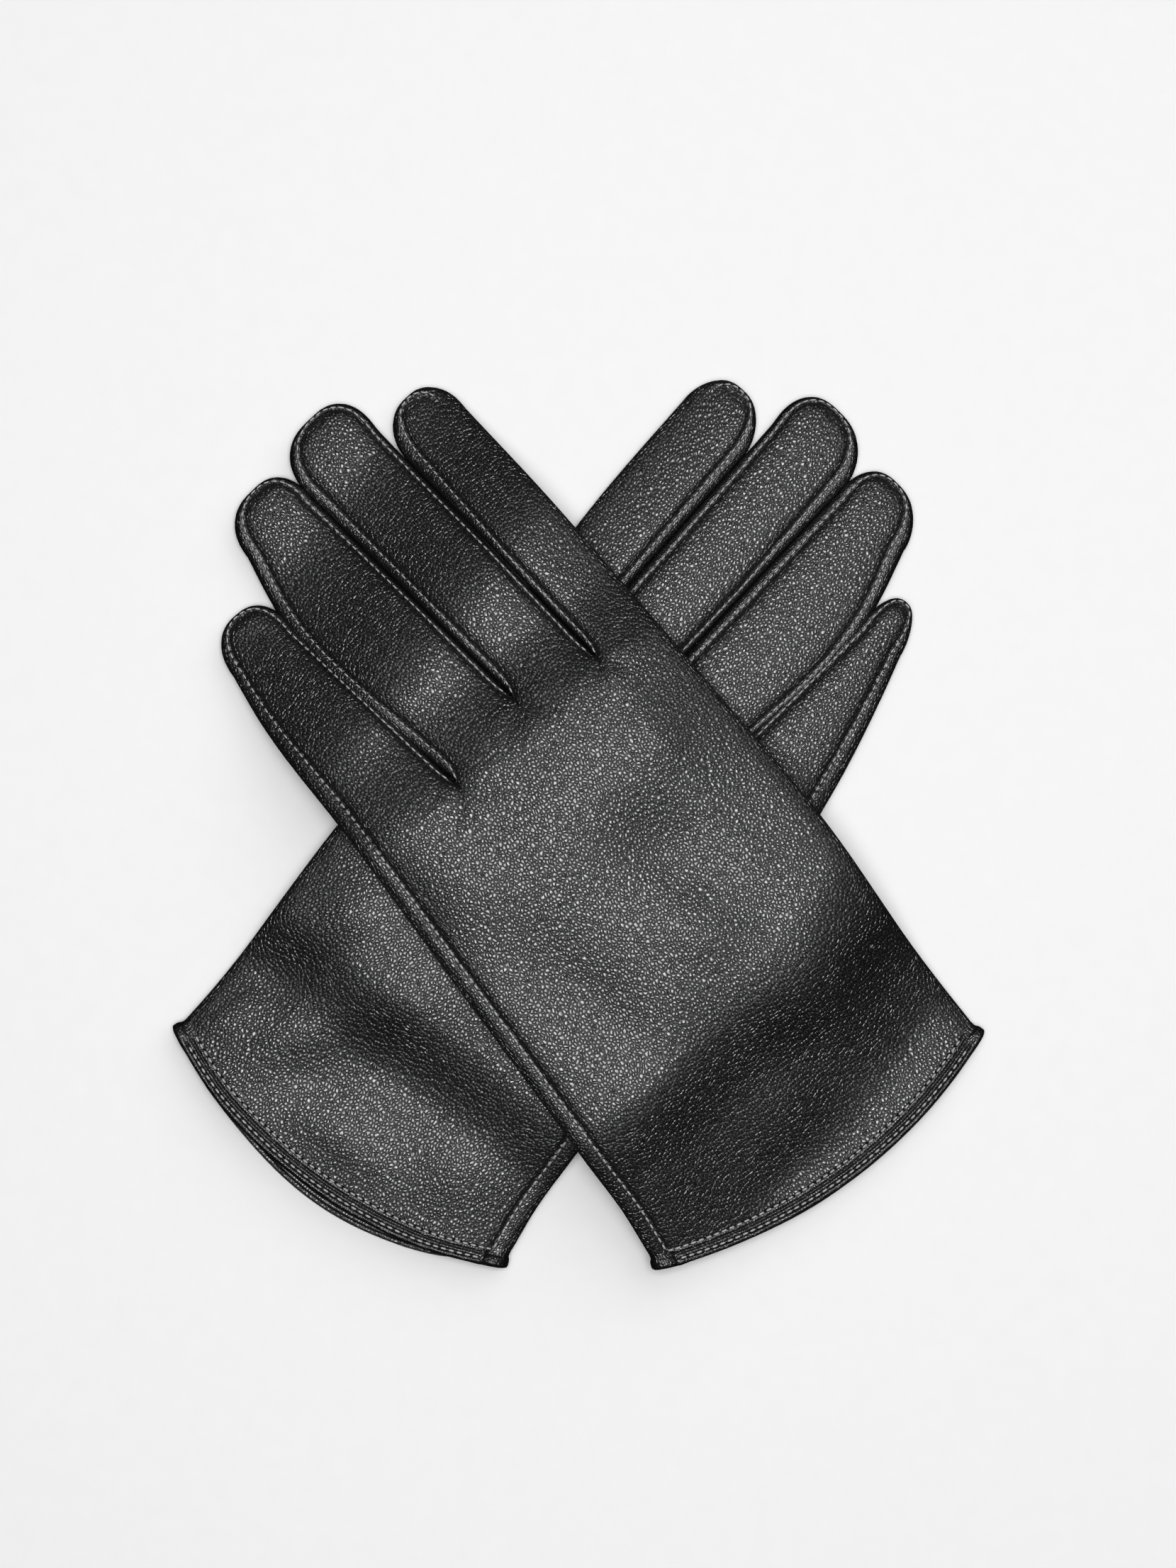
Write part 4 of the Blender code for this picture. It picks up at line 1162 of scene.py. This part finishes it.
# %% Table
TABLE_HALF = 3.0
table_mesh = bpy.data.meshes.new("table")
table_mesh.from_pydata([(-TABLE_HALF, -TABLE_HALF, 0), (TABLE_HALF, -TABLE_HALF, 0),
                        (TABLE_HALF, TABLE_HALF, 0), (-TABLE_HALF, TABLE_HALF, 0)], [], [[0, 1, 2, 3]])
table = bpy.data.objects.new("table", table_mesh)
bpy.context.scene.collection.objects.link(table)
paper, nodes, links, shader = new_material("white_paper")
tooth = add(nodes, "ShaderNodeTexNoise", Scale=900.0, Detail=2.0)
links.new(blend_colours(nodes, links, tooth.outputs["Fac"], (0.905, 0.903, 0.905), (0.935, 0.933, 0.935)),
          shader.inputs["Base Color"])
shader.inputs["Roughness"].default_value = 0.95
shader.inputs["Specular IOR Level"].default_value = 0.1
table_mesh.materials.append(paper)
table.visible_glossy = False


# %% Lights
CARD_SIZE, CARD_HEIGHT = 0.9, 1.15


def softbox(name, size, place_at, power, mirrored):
    """A square light that faces the gloves.  mirrored says whether the leather shows it."""
    lamp = bpy.data.lights.new(name, "AREA")
    lamp.shape = "RECTANGLE"
    lamp.size = lamp.size_y = size
    lamp.energy = power
    thing = bpy.data.objects.new(name, lamp)
    bpy.context.scene.collection.objects.link(thing)
    thing.location = place_at
    thing.rotation_euler = (Vector() - Vector(place_at)).to_track_quat("-Z", "Y").to_euler()
    thing.visible_glossy = mirrored
    return thing


softbox("overhead", 0.7, (0.0, 0.0, 1.5), 18.0, True)
softbox("table_fill", 3.0, (1.15, 1.6, 1.9), 36.0, False)
for name, x, y, power in (("card_over_fingers", -0.85, 0.75, 0.6), ("card_over_cuffs", 0.75, -0.85, 0.6),
                          ("card_at_right", 0.85, 0.8, 1.4)):
    card = softbox(name, CARD_SIZE, (x, y, CARD_HEIGHT), power, True)
    card.visible_diffuse = False

world = bpy.data.worlds.new("studio")
world.use_nodes = True
world.node_tree.nodes["Background"].inputs["Color"].default_value = (0.006, 0.006, 0.0065, 1)
bpy.context.scene.world = world

# %% [markdown]
# ## Camera
# The pair is seen from straight above through a long lens, as for a catalogue page.

# %% Camera
LENS, SENSOR = 95.0, 36.0
VIEW_LENGTH = 0.419         # metres of table from the bottom to the top of the picture
VIEW_CENTRE = (0.00227, 0.01145)
GLOVES_MIDDLE = 0.010       # height of the middle of the gloves
eye = bpy.data.cameras.new("camera")
eye.lens, eye.sensor_width = LENS, SENSOR
camera = bpy.data.objects.new("camera", eye)
bpy.context.scene.collection.objects.link(camera)
camera.location = (*VIEW_CENTRE, GLOVES_MIDDLE + VIEW_LENGTH * LENS / SENSOR)
bpy.context.scene.camera = camera
bpy.context.scene.view_settings.view_transform = "Standard"
